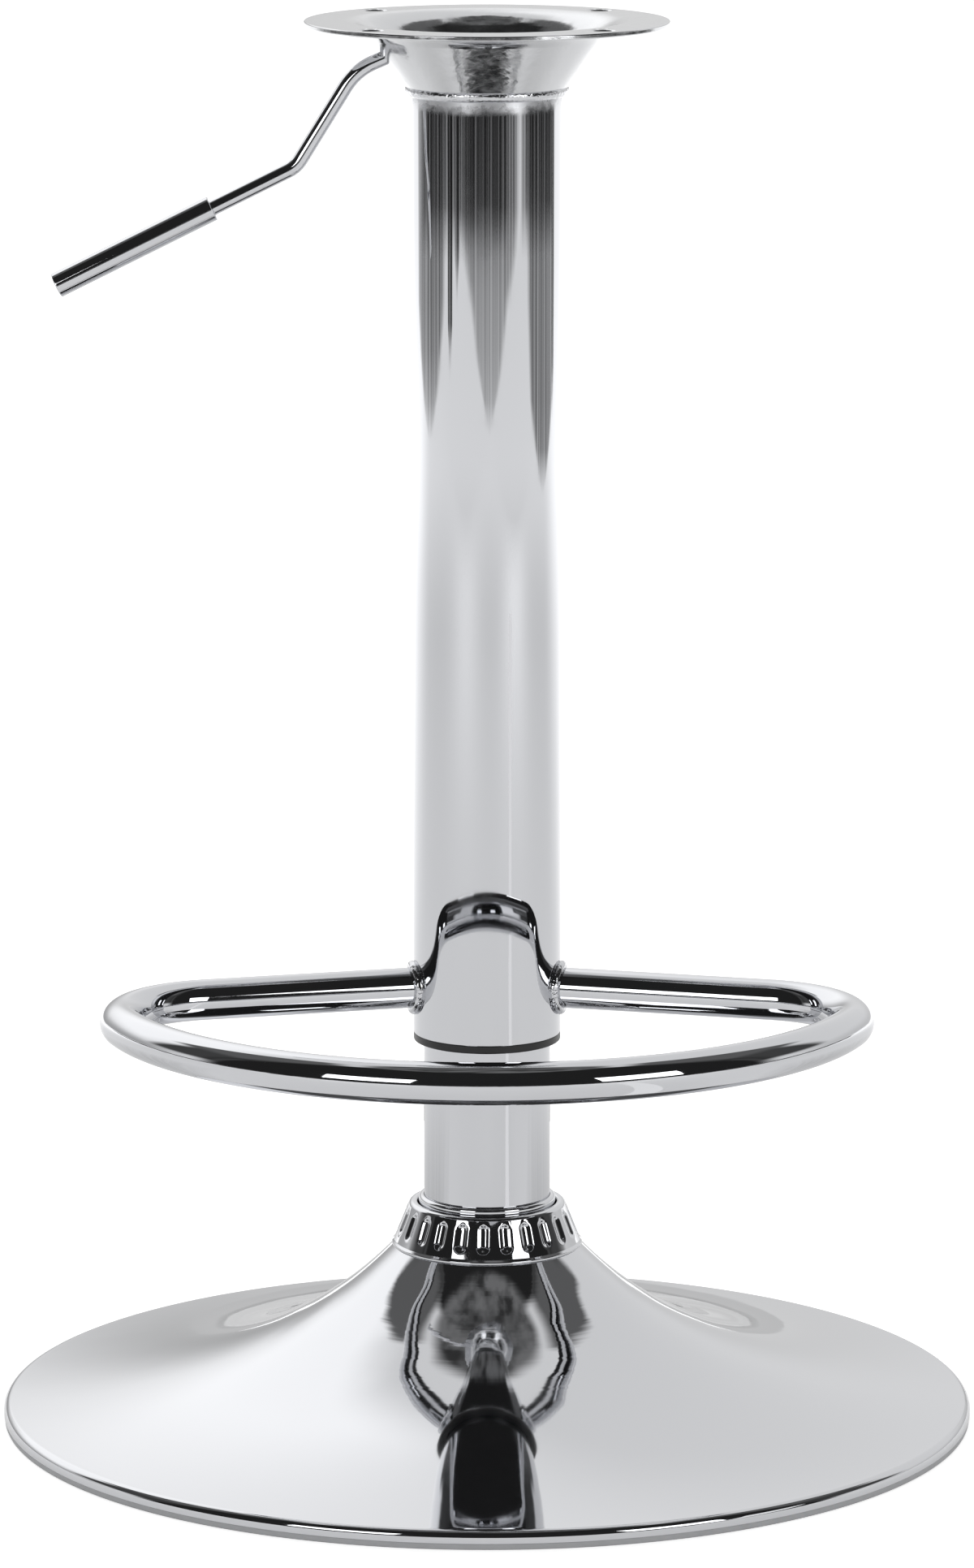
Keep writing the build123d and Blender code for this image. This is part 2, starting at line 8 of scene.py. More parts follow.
# %% [markdown]
# ## Load the frame
# The CAD pieces come in at their real size, in metres, and stay where they are. Pieces that show get a
# smoother mesh of the same size in their place, because a mirror shows every flat facet.

# %% Load the frame
import json
from cmath import exp as turn_by, phase
from math import ceil, copysign, cos, exp, hypot, pi, radians, sin, sqrt, tan

import bmesh
import bpy
from mathutils import Matrix, Vector


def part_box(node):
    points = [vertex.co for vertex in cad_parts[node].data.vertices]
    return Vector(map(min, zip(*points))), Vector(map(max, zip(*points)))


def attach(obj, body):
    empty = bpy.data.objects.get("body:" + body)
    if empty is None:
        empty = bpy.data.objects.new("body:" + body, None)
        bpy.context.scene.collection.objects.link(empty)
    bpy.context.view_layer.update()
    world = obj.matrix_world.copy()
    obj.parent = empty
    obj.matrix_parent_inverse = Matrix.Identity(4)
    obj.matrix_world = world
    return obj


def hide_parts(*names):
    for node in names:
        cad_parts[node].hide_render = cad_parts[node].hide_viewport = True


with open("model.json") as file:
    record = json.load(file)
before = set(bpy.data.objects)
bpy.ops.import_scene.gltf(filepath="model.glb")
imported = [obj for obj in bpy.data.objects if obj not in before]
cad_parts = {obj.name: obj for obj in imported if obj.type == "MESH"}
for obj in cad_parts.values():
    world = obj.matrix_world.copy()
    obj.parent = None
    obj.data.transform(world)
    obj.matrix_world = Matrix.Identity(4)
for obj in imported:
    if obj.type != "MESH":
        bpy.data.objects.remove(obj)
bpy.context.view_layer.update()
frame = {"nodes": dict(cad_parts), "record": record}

MM = 0.001

# %% [markdown]
# ## Read the sizes
# A piece that must fit its neighbour is measured on the frame and not typed in again. Only the sizes that
# a box can't tell, such as how fast the trumpet falls, are named here, in millimetres.

# %% Sizes from the frame
def spans(node):
    """Lowest and highest corner of a CAD piece at rest, in mm."""
    low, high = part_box(node)
    return low / MM, high / MM


shell_low, shell_high = spans("base_shell")
ring_low, ring_high = spans("floor_ring")
socket_low, socket_high = spans("base_socket")
collar_high = spans("collar_ring")[1]
stand_low, stand_high = spans("stand_tube")
column_low, column_high = spans("column_tube")
mouth_low, mouth_high = spans("column_ring")
plate_low, plate_high = spans("top_plate")
hoop_low, hoop_high = spans("foot_hoop")
pin_high = spans("valve_pin")[1]
print("foot", round(2 * shell_high.x, 1), "mm wide, plate at", round(plate_high.z, 1), "mm")

# %% Sizes of the foot and the tubes
shell_sheet = 1.5
rim_round = 3.0
rim_top = 7.4
flare_foot_height = 71.0
flare_rate = 2.4
flare_foot_radius = socket_high.x + 8.8
neck_radius = socket_high.x + 0.05
rim_radius = shell_high.x - rim_round
taper = tan(radians(0.72))
tube_wall = 1.5


def flare_height(radius):
    """Height of the foot's skin at a radius, in mm: it falls exponentially to the rim."""
    step = (radius - flare_foot_radius) / (rim_radius - flare_foot_radius)
    share = (exp(-flare_rate * step) - exp(-flare_rate)) / (1 - exp(-flare_rate))
    return rim_top + (flare_foot_height - rim_top) * share


print("flare at the neck", round(flare_height(neck_radius), 2), "and at the rim", flare_height(rim_radius))

# %% [markdown]
# ## Helpers for nodes and colours
# Every material and every Geometry Nodes tree below is wired by one small function, add. It has fill set
# the new node's inputs, and fill also serves the shader that a new material already has. Colours are
# written as the sRGB hex values that a painter would pick, and turned to the linear light that Blender
# mixes.

# %% Helpers for nodes and colours
def fill(node, inputs):
    """Fills a node's inputs, by name or in order, with values, outputs, or other nodes' first outputs."""
    for socket, value in (inputs.items() if isinstance(inputs, dict) else enumerate(inputs)):
        if isinstance(value, bpy.types.Node):
            value = value.outputs[0]
        if isinstance(value, bpy.types.NodeSocket):
            node.id_data.links.new(value, node.inputs[socket])
        else:
            node.inputs[socket].default_value = value


def add(tree, kind, inputs=(), operation=None, **settings):
    """Adds a node, sets it up and fills its inputs. A kind without the word Node is a shader node's."""
    made = tree.nodes.new(kind if "Node" in kind else "ShaderNode" + kind)
    if operation:
        made.operation = operation
    for name, value in settings.items():
        setattr(made, name, value)
    fill(made, inputs)
    return made


def linear(hex_colour):
    """An sRGB hex colour as linear red, green, blue and alpha."""
    parts = [int(hex_colour[i:i + 2], 16) / 255 for i in (1, 3, 5)]
    return [p / 12.92 if p <= 0.04045 else ((p + 0.055) / 1.055) ** 2.4 for p in parts] + [1.0]


print("helpers ready; mid grey is", round(linear("#808080")[0], 3), "in linear light")

# %% [markdown]
# ## The camera
# The photograph was taken from well above the plate with a long lens, and shows both the inside of the
# dish and the top of the hoop. The camera stands there, tilted down, with no lens shift, so that the
# object stays in the middle when it is seen from other sides.

# %% The camera
camera_distance = 2.885
camera_height = 0.81
aim_height = 0.2551
lens_length = 171.6

camera_data = bpy.data.cameras.new("camera")
camera_data.lens = lens_length
camera_data.sensor_fit = "AUTO"
camera_data.sensor_width = 36.0
camera_data.clip_end = 60.0
camera = bpy.data.objects.new("camera", camera_data)
bpy.context.scene.collection.objects.link(camera)
camera.location = (0.0, -camera_distance, camera_height)
aim = Vector((0.0, 0.0, aim_height)) - camera.location
camera.rotation_euler = aim.to_track_quat("-Z", "Y").to_euler()
bpy.context.scene.camera = camera
bpy.context.scene.view_settings.view_transform = "Standard"
print("camera looks down by", round(-aim.z / hypot(aim.x, aim.y), 3), "to one")

# %% [markdown]
# ## Chrome
# Chrome plate on steel is a thin, hard, slightly blue mirror. Under it the steel keeps the marks of how
# it was made: long draw lines on a tube, rings on a spun foot, a soft waviness where sheet was pressed.
# Each finish is the same mirror with its own faint bump. The bump is what makes the edges of a
# reflection waver, which tells the eye that this is thin plated steel and not glass.

# %% A mirror with its own marks
def surface(name, hex_colour, roughness, more):
    """A material with its tree and shader; more are further values for the shader's sockets."""
    material = bpy.data.materials.new(name)
    material.use_nodes = True
    shader = material.node_tree.nodes["Principled BSDF"]
    fill(shader, {"Base Color": linear(hex_colour), "Roughness": roughness, **more})
    return material, material.node_tree, shader


def metal(name, hex_colour, roughness):
    """A metal material with its tree and shader, ready for its marks."""
    return surface(name, hex_colour, roughness, {"Metallic": 1.0})


def marks(tree, shader, layers):
    """Bumps the shader with layers of noise; each has a grain size, or three, and a depth, in mm."""
    place = add(tree, "TexCoord").outputs["Object"]
    normal = None
    for grain, depth in layers:
        scale = [1 / (size * MM) for size in (grain if isinstance(grain, tuple) else [grain] * 3)]
        stretched = add(tree, "Mapping", {"Vector": place, "Scale": scale})
        noise = add(tree, "TexNoise", {"Vector": stretched, "Scale": 1.0, "Detail": 2.0})
        inputs = {"Height": noise, "Strength": 1.0, "Distance": depth * MM}
        if normal:
            inputs["Normal"] = normal
        normal = add(tree, "Bump", inputs).outputs["Normal"]
    fill(shader, {"Normal": normal})


def worn_polish(tree, shader, grain, smoothest, dullest):
    """Varies the roughness over patches of a size in mm, as a polishing wheel leaves it."""
    place = add(tree, "TexCoord").outputs["Object"]
    patches = add(tree, "TexNoise", {"Vector": place, "Scale": 1 / (grain * MM), "Detail": 3.0})
    spread = add(tree, "MapRange", {"Value": patches, "From Min": 0.3, "From Max": 0.7,
        "To Min": smoothest, "To Max": dullest}).outputs["Result"]
    fill(shader, {"Roughness": spread})
    return spread


# Chrome over drawn tube: long vertical draw lines, so that dark reflections break into streaks.
# The last few millimetres under the plate were heated by the weld, and the plating there is hazy.
chrome_tube, tree, shader = metal("chrome_on_drawn_tube", "#CDCED1", 0.03)
marks(tree, shader, [((1.1, 1.1, 260.0), 0.0030), ((24.0, 24.0, 110.0), 0.10)])
polish = worn_polish(tree, shader, 14.0, 0.012, 0.045)
place = add(tree, "TexCoord").outputs["Object"]
height = add(tree, "SeparateXYZ", [place]).outputs[2]
heated = add(tree, "MapRange", {"Value": height, "From Min": (column_high.z - 9.0) * MM,
    "From Max": (column_high.z - 4.0) * MM})
smear = add(tree, "TexNoise", {"Vector": place, "Scale": 1 / (3.0 * MM), "Detail": 4.0})
haze = add(tree, "Math", [heated, smear], "MULTIPLY")
dull = add(tree, "Math", [haze, 0.6, polish], "MULTIPLY_ADD")
fill(shader, {"Roughness": dull})

# Chrome over pressed or bent steel: a mirror with a slow waviness and no direction.
chrome_pressed, tree, shader = metal("chrome_on_pressed_steel", "#CFD0D3", 0.025)
marks(tree, shader, [(9.0, 0.003)])
worn_polish(tree, shader, 8.0, 0.015, 0.04)

# Chrome over a plain pressing that nobody polished: the plate's outside, soft and slightly blotchy.
chrome_plate, tree, shader = metal("chrome_on_plain_pressing", "#D2D3D5", 0.14)
marks(tree, shader, [(2.6, 0.045), (9.0, 0.10)])
worn_polish(tree, shader, 5.0, 0.09, 0.20)
print("chrome finishes made")

# %% The spun foot's finish
# Chrome over a spun trumpet: fine rings about the axis and a slow waviness, both strongest near the neck,
# where the roller works hardest. Further out the sheet runs smooth.
chrome_spun, tree, shader = metal("chrome_on_spun_steel", "#CFD0D3", 0.03)
place = add(tree, "TexCoord").outputs["Object"]
flat = add(tree, "VectorMath", [place, (1.0, 1.0, 0.0)], "MULTIPLY")
from_axis = add(tree, "VectorMath", [flat], "LENGTH").outputs["Value"]
rings = add(tree, "TexNoise", {"W": from_axis, "Scale": 1 / (2.4 * MM), "Detail": 2.0},
    noise_dimensions="1D")
waves = add(tree, "TexNoise", {"Vector": place, "Scale": 1 / (24.0 * MM), "Detail": 0.5})
near_neck = add(tree, "MapRange", {"Value": from_axis, "From Min": 55 * MM, "From Max": 105 * MM,
    "To Min": 1.0, "To Max": 0.07}, interpolation_type="SMOOTHSTEP")
ring_bump = add(tree, "Bump", {"Height": rings, "Strength": near_neck, "Distance": 0.010 * MM})
wave_bump = add(tree, "Bump", {"Height": waves, "Strength": near_neck, "Distance": 0.70 * MM,
    "Normal": ring_bump.outputs["Normal"]})
fill(shader, {"Normal": wave_bump.outputs["Normal"]})
worn_polish(tree, shader, 30.0, 0.02, 0.055)

# Inside the dish, chrome over a blasted pressing follows every grain and looks dull; its darker colour is
# painted shade.
chrome_grained_and_shaded, tree, shader = metal("chrome_on_blasted_steel_with_painted_shade", "#9C9EA2", 0.34)
marks(tree, shader, [(1.1, 0.30), (6.0, 0.10)])

# Chrome over a weld: the same mirror on rippled, slightly spattered metal.
chrome_weld, tree, shader = metal("chrome_on_weld", "#CDCED1", 0.07)
marks(tree, shader, [(0.8, 0.12), (2.4, 0.45)])
print("foot, dish and weld finishes made")

# %% [markdown]
# ## The other materials
# Inside and under the chrome there are plain steels, a turned aluminium, rubber and three plastics.
# Most of them show only from below or when the column is up, but each is still what it is.
# A metal is told by its colour and grain, and a plastic by its soft gloss and its fine moulded texture.

# %% Plain metals
raw_steel, tree, shader = metal("zinc_plated_steel", "#A6A9AE", 0.38)
marks(tree, shader, [(1.2, 0.02), (9.0, 0.03)])
worn_polish(tree, shader, 5.0, 0.28, 0.46)

ground_steel, tree, shader = metal("ground_bearing_steel", "#C3C6CA", 0.16)
marks(tree, shader, [((0.35, 0.35, 6.0), 0.003)])

hard_chrome, tree, shader = metal("ground_hard_chrome", "#CFD1D4", 0.09)
marks(tree, shader, [((9.0, 9.0, 0.3), 0.002)])

turned_aluminium, tree, shader = metal("turned_aluminium", "#C9CACC", 0.27)
marks(tree, shader, [((12.0, 12.0, 0.35), 0.010)])
print("plain metals made")

# %% Plastics, rubber and paint
def moulded(name, hex_colour, roughness, grain, depth, speckle=0.08):
    """A moulded or painted material with a fine texture and slightly uneven colour; sizes in mm."""
    material, tree, shader = surface(name, hex_colour, roughness, {"IOR": 1.49})
    marks(tree, shader, [(grain, depth)])
    place = add(tree, "TexCoord").outputs["Object"]
    cloud = add(tree, "TexNoise", {"Vector": place, "Scale": 1 / (12 * grain * MM), "Detail": 3.0})
    light = [min(1.0, part * (1 + speckle)) for part in linear(hex_colour)[:3]] + [1.0]
    dark = [part * (1 - speckle) for part in linear(hex_colour)[:3]] + [1.0]
    mix = add(tree, "Mix", {"Factor": cloud, "A": dark, "B": light}, data_type="RGBA")
    fill(shader, {"Base Color": mix.outputs[2]})
    return material


black_plastic = moulded("moulded_black_polypropylene", "#141415", 0.34, 0.7, 0.010)
grey_plastic = moulded("moulded_grey_pvc", "#A4A5A7", 0.42, 0.8, 0.012)
bush_plastic = moulded("moulded_acetal", "#E4E4DE", 0.36, 0.6, 0.008)
black_paint = moulded("black_stoved_paint", "#17171A", 0.30, 1.0, 0.014)
rubber = moulded("moulded_rubber", "#161616", 0.62, 0.9, 0.020)
print("plastics, paint and rubber made")

# %% Materials of the CAD pieces
finishes = {
    "chrome": chrome_pressed, "dish_chrome": chrome_plate, "black_plastic": black_plastic,
    "grey_plastic": grey_plastic, "bush_plastic": bush_plastic, "raw_steel": raw_steel,
    "bearing_steel": ground_steel, "rod_chrome": hard_chrome, "black_steel": black_paint,
    "aluminium": turned_aluminium, "rubber": rubber,
}
for part in frame["record"]["subparts"]:
    mesh = frame["nodes"][part["node"]].data
    mesh.materials.clear()
    mesh.materials.append(finishes[part["material_slot"]])
print(len(frame["nodes"]), "CAD pieces have their material")

# %% [markdown]
# ## Turned and pressed pieces
# The foot, tubes, rings, collar and plate are all round about the column's axis. In the workshop they are
# spun, turned or rolled, and here one Geometry Nodes tree turns a section about the axis.
# A grid has one row for each point of the section and one column for each step round the axis, and every
# grid point is moved to its place. A lathe modifier would do too, but the tree has named inputs, closes
# its own seam, and can be read.

# %% A tree's named inputs and its result
def new_tree(name, sockets):
    """A Geometry Nodes tree with geometry in and out and some named inputs with their first values."""
    tree = bpy.data.node_groups.new(name, "GeometryNodeTree")
    tree.interface.new_socket("Geometry", in_out="INPUT", socket_type="NodeSocketGeometry")
    kinds = {int: "NodeSocketInt", float: "NodeSocketFloat", bool: "NodeSocketBool"}
    for title, value in sockets.items():
        made = tree.interface.new_socket(title, in_out="INPUT", socket_type=kinds[type(value)])
        made.default_value = value
    tree.interface.new_socket("Material", in_out="INPUT", socket_type="NodeSocketMaterial")
    tree.interface.new_socket("Geometry", in_out="OUTPUT", socket_type="NodeSocketGeometry")
    return tree, tree.nodes.new("NodeGroupInput").outputs


def end_tree(tree, geometry, material):
    """Ends a tree in Realize Instances and Set Material, so that the piece is a plain mesh."""
    real = add(tree, "GeometryNodeRealizeInstances", {"Geometry": geometry})
    done = add(tree, "GeometryNodeSetMaterial", {"Geometry": real, "Material": material})
    add(tree, "NodeGroupOutput", {"Geometry": done})


def plain_mesh(name, points, edges=(), faces=()):
    """A new object with a mesh of points in metres."""
    mesh = bpy.data.meshes.new(name)
    mesh.from_pydata(points, edges, faces)
    made = bpy.data.objects.new(name, mesh)
    bpy.context.scene.collection.objects.link(made)
    return made


def circle_points(radius, height, count):
    """Points of a level circle about the column's axis."""
    turns = [2 * pi * k / count for k in range(count)]
    return [(radius * cos(turn), radius * sin(turn), height) for turn in turns]


def keep_result(piece):
    """Keeps what a piece's modifiers make as its plain mesh."""
    ready = piece.evaluated_get(bpy.context.evaluated_depsgraph_get())
    result = bpy.data.meshes.new_from_object(ready)
    piece.modifiers.clear()
    piece.data = result


def grow(piece, tree, material, values):
    """Runs a tree on a piece and keeps the result as its plain mesh."""
    modifier = piece.modifiers.new(tree.name, "NODES")
    modifier.node_group = tree
    keys = {s.name: s.identifier for s in tree.interface.items_tree
            if s.item_type == "SOCKET" and s.in_out == "INPUT"}
    for title, value in {**values, "Material": material}.items():
        modifier[keys[title]] = value
    keep_result(piece)
    return piece


print("tree helpers ready")

# %% The turning tree
def start_grid(tree, rows, segments):
    """A grid with a row for each section point; gives the grid, each point's row and its angle."""
    columns = add(tree, "Math", [segments, 1.0], "ADD")
    grid = add(tree, "GeometryNodeMeshGrid", {"Vertices X": columns, "Vertices Y": rows})
    index = add(tree, "GeometryNodeInputIndex")
    row = add(tree, "Math", [index, rows], "MODULO")
    share = add(tree, "Math", [index, rows], "DIVIDE")
    column = add(tree, "Math", [share], "FLOOR")
    round_share = add(tree, "Math", [column, segments], "DIVIDE")
    angle = add(tree, "Math", [round_share, 2 * pi], "MULTIPLY")
    return grid, row, angle


def close_grid(tree, grid, point, angle, material):
    """Turns each row's point to its place round the axis, joins the seam and ends the tree."""
    turned_point = add(tree, "VectorRotate", {"Vector": point, "Axis": (0.0, 0.0, 1.0), "Angle": angle},
        rotation_type="AXIS_ANGLE")
    placed = add(tree, "GeometryNodeSetPosition", {"Geometry": grid, "Position": turned_point})
    closed = add(tree, "GeometryNodeMergeByDistance", {"Geometry": placed, "Distance": 0.002 * MM})
    end_tree(tree, closed, material)


turning, given = new_tree("turn_a_section", {"Segments": 96})
section = given["Geometry"]
rows = add(turning, "GeometryNodeAttributeDomainSize", {"Geometry": section}).outputs["Point Count"]
grid, row, angle = start_grid(turning, rows, given["Segments"])
here = add(turning, "GeometryNodeInputPosition")
point = add(turning, "GeometryNodeSampleIndex", {"Geometry": section, "Value": here, "Index": row},
    data_type="FLOAT_VECTOR", domain="POINT")
close_grid(turning, grid, point, angle, given["Material"])
print("turning tree has", len(turning.nodes), "nodes")

# %% Sections with real rounds
support = 0.12


def arc(centre, start, end, step, least=1):
    """Points of the shorter arc from start to end about a centre, all complex numbers."""
    swing = phase((end - centre) / (start - centre))
    steps = max(least, ceil(abs(swing) / step))
    return [centre + (start - centre) * turn_by(1j * swing * k / steps) for k in range(steps + 1)]


def round_corner(before, here, after, size, step, least, straight):
    """A corner's points once it is rounded to a radius, with a short straight on either side."""
    back, ahead = before - here, after - here
    back, ahead = back / abs(back), ahead / abs(ahead)
    half = abs(phase(ahead / back)) / 2
    start, end = here + back * size / tan(half), here + ahead * size / tan(half)
    centre = here + (back + ahead) / abs(back + ahead) * size / sin(half)
    return [start + back * straight, *arc(centre, start, end, step, least), end + ahead * straight]


def rounded(corners):
    """Points of a section whose corners are (radius, height, round), in mm.
    Each round gets a short straight beside it, which keeps the shading of the long wall even."""
    spots = [complex(radius, height) for radius, height, size in corners]
    points = []
    for i, corner in enumerate(corners):
        before, here, after, size = spots[i - 1], spots[i], spots[(i + 1) % len(spots)], corner[2]
        points += round_corner(before, here, after, size, radians(9), 3, support) if size else [here]
    return [(p.real, p.imag) for p in points]


def turned(name, section, material, segments):
    """Turns a closed section of (radius, height) points in mm about the column's axis."""
    outline = [(radius * MM, 0.0, height * MM) for radius, height in [*section, section[0]]]
    return grow(plain_mesh(name, outline), turning, material, {"Segments": segments})


def settle(piece, body, slot, *replaced):
    """Closes and smooths a finished piece, gives it its body, and hides what it stands for; the slot is not
    used.
    """
    mesh = piece.data
    work = bmesh.new()
    work.from_mesh(mesh)
    bmesh.ops.remove_doubles(work, verts=work.verts, dist=0.001 * MM)
    loose = [edge for edge in work.edges if not edge.link_faces]
    bmesh.ops.delete(work, geom=loose, context="EDGES")
    bmesh.ops.recalc_face_normals(work, faces=work.faces)
    work.to_mesh(mesh)
    open_edges = sum(len(edge.link_faces) != 2 for edge in work.edges)
    work.free()
    mesh.shade_smooth()
    mesh.set_sharp_from_angle(angle=radians(34))
    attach(piece, body)
    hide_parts(*replaced)
    triangles = sum(len(face.vertices) - 2 for face in mesh.polygons)
    print(piece.name, "has", triangles, "triangles and", open_edges, "open edges")


print("section and settling helpers ready")

# %% [markdown]
# ## The tubes and rings
# The lower tube is drawn and plated, tapers a little at its foot, and locks in the socket. The outer
# column slides over it on a black plastic ring. Both are plain turned pieces. Their ends are rounded by a
# few tenths of a millimetre, because a cut and polished tube never ends in a knife edge, and that small
# round catches the bright line that makes it look real.

# %% Tubes
cut_round = 0.35
stand_radius = stand_high.x
foot_radius = stand_radius - taper * (socket_high.z - stand_low.z)
stand = turned("lower_tube", rounded([
    (foot_radius - tube_wall, stand_low.z, cut_round),
    (foot_radius, stand_low.z, cut_round),
    (stand_radius, socket_high.z, 0),
    (stand_radius, stand_high.z, cut_round),
    (stand_radius - tube_wall, stand_high.z, cut_round),
    (stand_radius - tube_wall, socket_high.z, 0),
]), chrome_tube, 160)
settle(stand, "stand", "chrome", "stand_tube")

column_radius = column_high.x
column_piece = turned("outer_column", rounded([
    (column_radius - tube_wall, column_low.z, cut_round),
    (column_radius, column_low.z, cut_round),
    (column_radius, column_high.z, cut_round),
    (column_radius - tube_wall, column_high.z, cut_round),
]), chrome_tube, 192)
settle(column_piece, "column", "chrome", "column_tube")

# %% Rings of plastic and the socket
bore = stand_radius + 0.1
inside = column_radius - tube_wall - 0.05
mouth_ring = turned("mouth_ring", rounded([
    (bore, mouth_low.z, 0.5),
    (column_radius, mouth_low.z, 0.8),
    (column_radius, column_low.z, 0.15),
    (inside, column_low.z, 0),
    (inside, mouth_high.z, 0.4),
    (bore, mouth_high.z, 0.4),
]), black_plastic, 144)
settle(mouth_ring, "column", "black_plastic", "column_ring")

socket_radius = socket_high.x
socket = turned("stand_socket", rounded([
    (stand_radius - taper * (socket_high.z - socket_low.z) + 0.05, socket_low.z, 0),
    (socket_radius, socket_low.z, 0),
    (socket_radius, socket_high.z, 1.5),
    (stand_radius + 0.05, socket_high.z, 0.3),
]), chrome_pressed, 144)
settle(socket, "stand", "chrome", "base_socket")

ledge = shell_high.x - 14.5
lip = shell_high.x - shell_sheet - 0.3
floor_piece = turned("rim_ring", rounded([
    (ring_high.x - 20.0, ring_low.z, 0.4),
    (ring_high.x, ring_low.z, 0.5),
    (ring_high.x, shell_low.z, 0.35),
    (lip, shell_low.z, 0),
    (lip, ring_high.z, 0.4),
    (ledge + 0.3, ring_high.z, 0.3),
    (ledge + 0.3, shell_low.z, 0),
    (ring_high.x - 20.0, shell_low.z, 0.4),
]), grey_plastic, 288)
settle(floor_piece, "stand", "grey_plastic", "floor_ring")

# %% [markdown]
# ## The trumpet foot
# The foot is spun from sheet steel over a former. Its skin falls steeply from the neck and runs out nearly
# flat, which is an exponential curve. It is the piece that a mirror finish tests the most, so its height
# is worked out by the tree itself, at every row, from the named rate, and not drawn by hand.
# The sheet's thickness is added afterwards, inwards, as the real sheet has it.

# %% The trumpet tree
foot_sizes = {"Rows": 120, "Segments": 288, "Neck Radius": neck_radius * MM, "Rim Radius": rim_radius * MM,
              "Foot Radius": flare_foot_radius * MM, "Rim Height": rim_top * MM,
              "Rise": (flare_foot_height - rim_top) * MM, "Fall Rate": flare_rate}
trumpet, given = new_tree("spin_the_foot", foot_sizes)
grid, row, angle = start_grid(trumpet, given["Rows"], given["Segments"])
last_row = add(trumpet, "Math", [given["Rows"], 1.0], "SUBTRACT")
row_share = add(trumpet, "Math", [row, last_row], "DIVIDE")
eased = add(trumpet, "Math", [row_share, 1.5], "POWER")
radius = add(trumpet, "MapRange", {"Value": eased, "To Min": given["Neck Radius"],
    "To Max": given["Rim Radius"]})
out = add(trumpet, "Math", [radius, given["Foot Radius"]], "SUBTRACT")
reach = add(trumpet, "Math", [given["Rim Radius"], given["Foot Radius"]], "SUBTRACT")
step = add(trumpet, "Math", [out, reach], "DIVIDE")
down = add(trumpet, "Math", [given["Fall Rate"], -1.0], "MULTIPLY")
power = add(trumpet, "Math", [step, down], "MULTIPLY")
falling = add(trumpet, "Math", [power], "EXPONENT")
at_rim = add(trumpet, "Math", [down], "EXPONENT")
above = add(trumpet, "Math", [falling, at_rim], "SUBTRACT")
whole = add(trumpet, "Math", [1.0, at_rim], "SUBTRACT")
height_share = add(trumpet, "Math", [above, whole], "DIVIDE")
height = add(trumpet, "Math", [height_share, given["Rise"], given["Rim Height"]], "MULTIPLY_ADD")
point = add(trumpet, "CombineXYZ", {"X": radius, "Z": height})
close_grid(trumpet, grid, point, angle, given["Material"])
print("trumpet tree has", len(trumpet.nodes), "nodes")

# %% Spin the foot, round its rim and give the sheet its thickness
foot = grow(plain_mesh("trumpet_foot", []), trumpet, chrome_spun, foot_sizes)
work = bmesh.new()
work.from_mesh(foot.data)
bmesh.ops.remove_doubles(work, verts=work.verts, dist=0.002 * MM)
rim_edges = [e for e in work.edges if len(e.link_faces) == 1
             and all(abs(hypot(v.co.x, v.co.y) / MM - rim_radius) < 0.01 for v in e.verts)]
rim_steps = 10
leans = [step / rim_steps * pi / 2 for step in range(1, rim_steps + 1)]
rim_rings = [(rim_radius + rim_round * sin(lean), rim_top - rim_round * (1 - cos(lean))) for lean in leans]
rim_rings += [(rim_radius + rim_round, rim_top - rim_round - support), (rim_radius + rim_round, shell_low.z)]
for new_radius, new_height in rim_rings:
    grown = bmesh.ops.extrude_edge_only(work, edges=rim_edges)["geom"]
    for v in [g for g in grown if isinstance(g, bmesh.types.BMVert)]:
        flat = hypot(v.co.x, v.co.y)
        v.co = Vector((v.co.x / flat * new_radius * MM, v.co.y / flat * new_radius * MM, new_height * MM))
    rim_edges = [g for g in grown if isinstance(g, bmesh.types.BMEdge)]
bmesh.ops.recalc_face_normals(work, faces=work.faces)
middle_face = max(work.faces, key=lambda f: f.calc_center_median().z)
if middle_face.normal.z < 0:
    bmesh.ops.reverse_faces(work, faces=work.faces)
work.to_mesh(foot.data)
work.free()
sheet = foot.modifiers.new("sheet", "SOLIDIFY")
sheet.thickness = shell_sheet * MM
sheet.offset = -1.0
keep_result(foot)
settle(foot, "stand", "chrome", "base_shell")

# %% [markdown]
# ## The collar
# A chromed ring covers the neck of the foot. It is drawn from thin sheet, and oval dimples are pressed
# round its wall for grip. The ring is turned as before, with close rows on its wall. A second tree then
# does the press's work: it repeats one oval tool round the axis and pushes the wall in where the tool is.
# Cutting each dimple out with a boolean would leave broken facets, and a mirror would show them.

# %% The pressing tree
collar_sheet = 1.2
collar_bore = socket_high.x + 0.4
hem_radius = collar_bore + collar_sheet
dimples = {"Count": 24, "First Angle": radians(-92.5), "Middle Height": 79.3 * MM, "Width": 5.8 * MM,
           "Length": 11.8 * MM, "Depth": 0.95 * MM, "Soft Edge": 2.5 * MM,
           "Least Radius": (hem_radius + 0.1) * MM}
pressing, given = new_tree("press_dimples", dimples)
here = add(pressing, "GeometryNodeInputPosition")
parts = add(pressing, "SeparateXYZ", [here])
flat = add(pressing, "VectorMath", [here, (1.0, 1.0, 0.0)], "MULTIPLY")
radius = add(pressing, "VectorMath", [flat], "LENGTH").outputs["Value"]
inwards = add(pressing, "VectorMath", [flat], "NORMALIZE")
angle = add(pressing, "Math", [parts.outputs[1], parts.outputs[0]], "ARCTAN2")
from_first = add(pressing, "Math", [angle, given["First Angle"]], "SUBTRACT")
pitch = add(pressing, "Math", [2 * pi, given["Count"]], "DIVIDE")
half_pitch = add(pressing, "Math", [pitch, 0.5], "MULTIPLY")
low_half = add(pressing, "Math", [half_pitch, -1.0], "MULTIPLY")
local = add(pressing, "Math", [from_first, half_pitch, low_half], "WRAP")
across = add(pressing, "Math", [local, radius], "MULTIPLY")
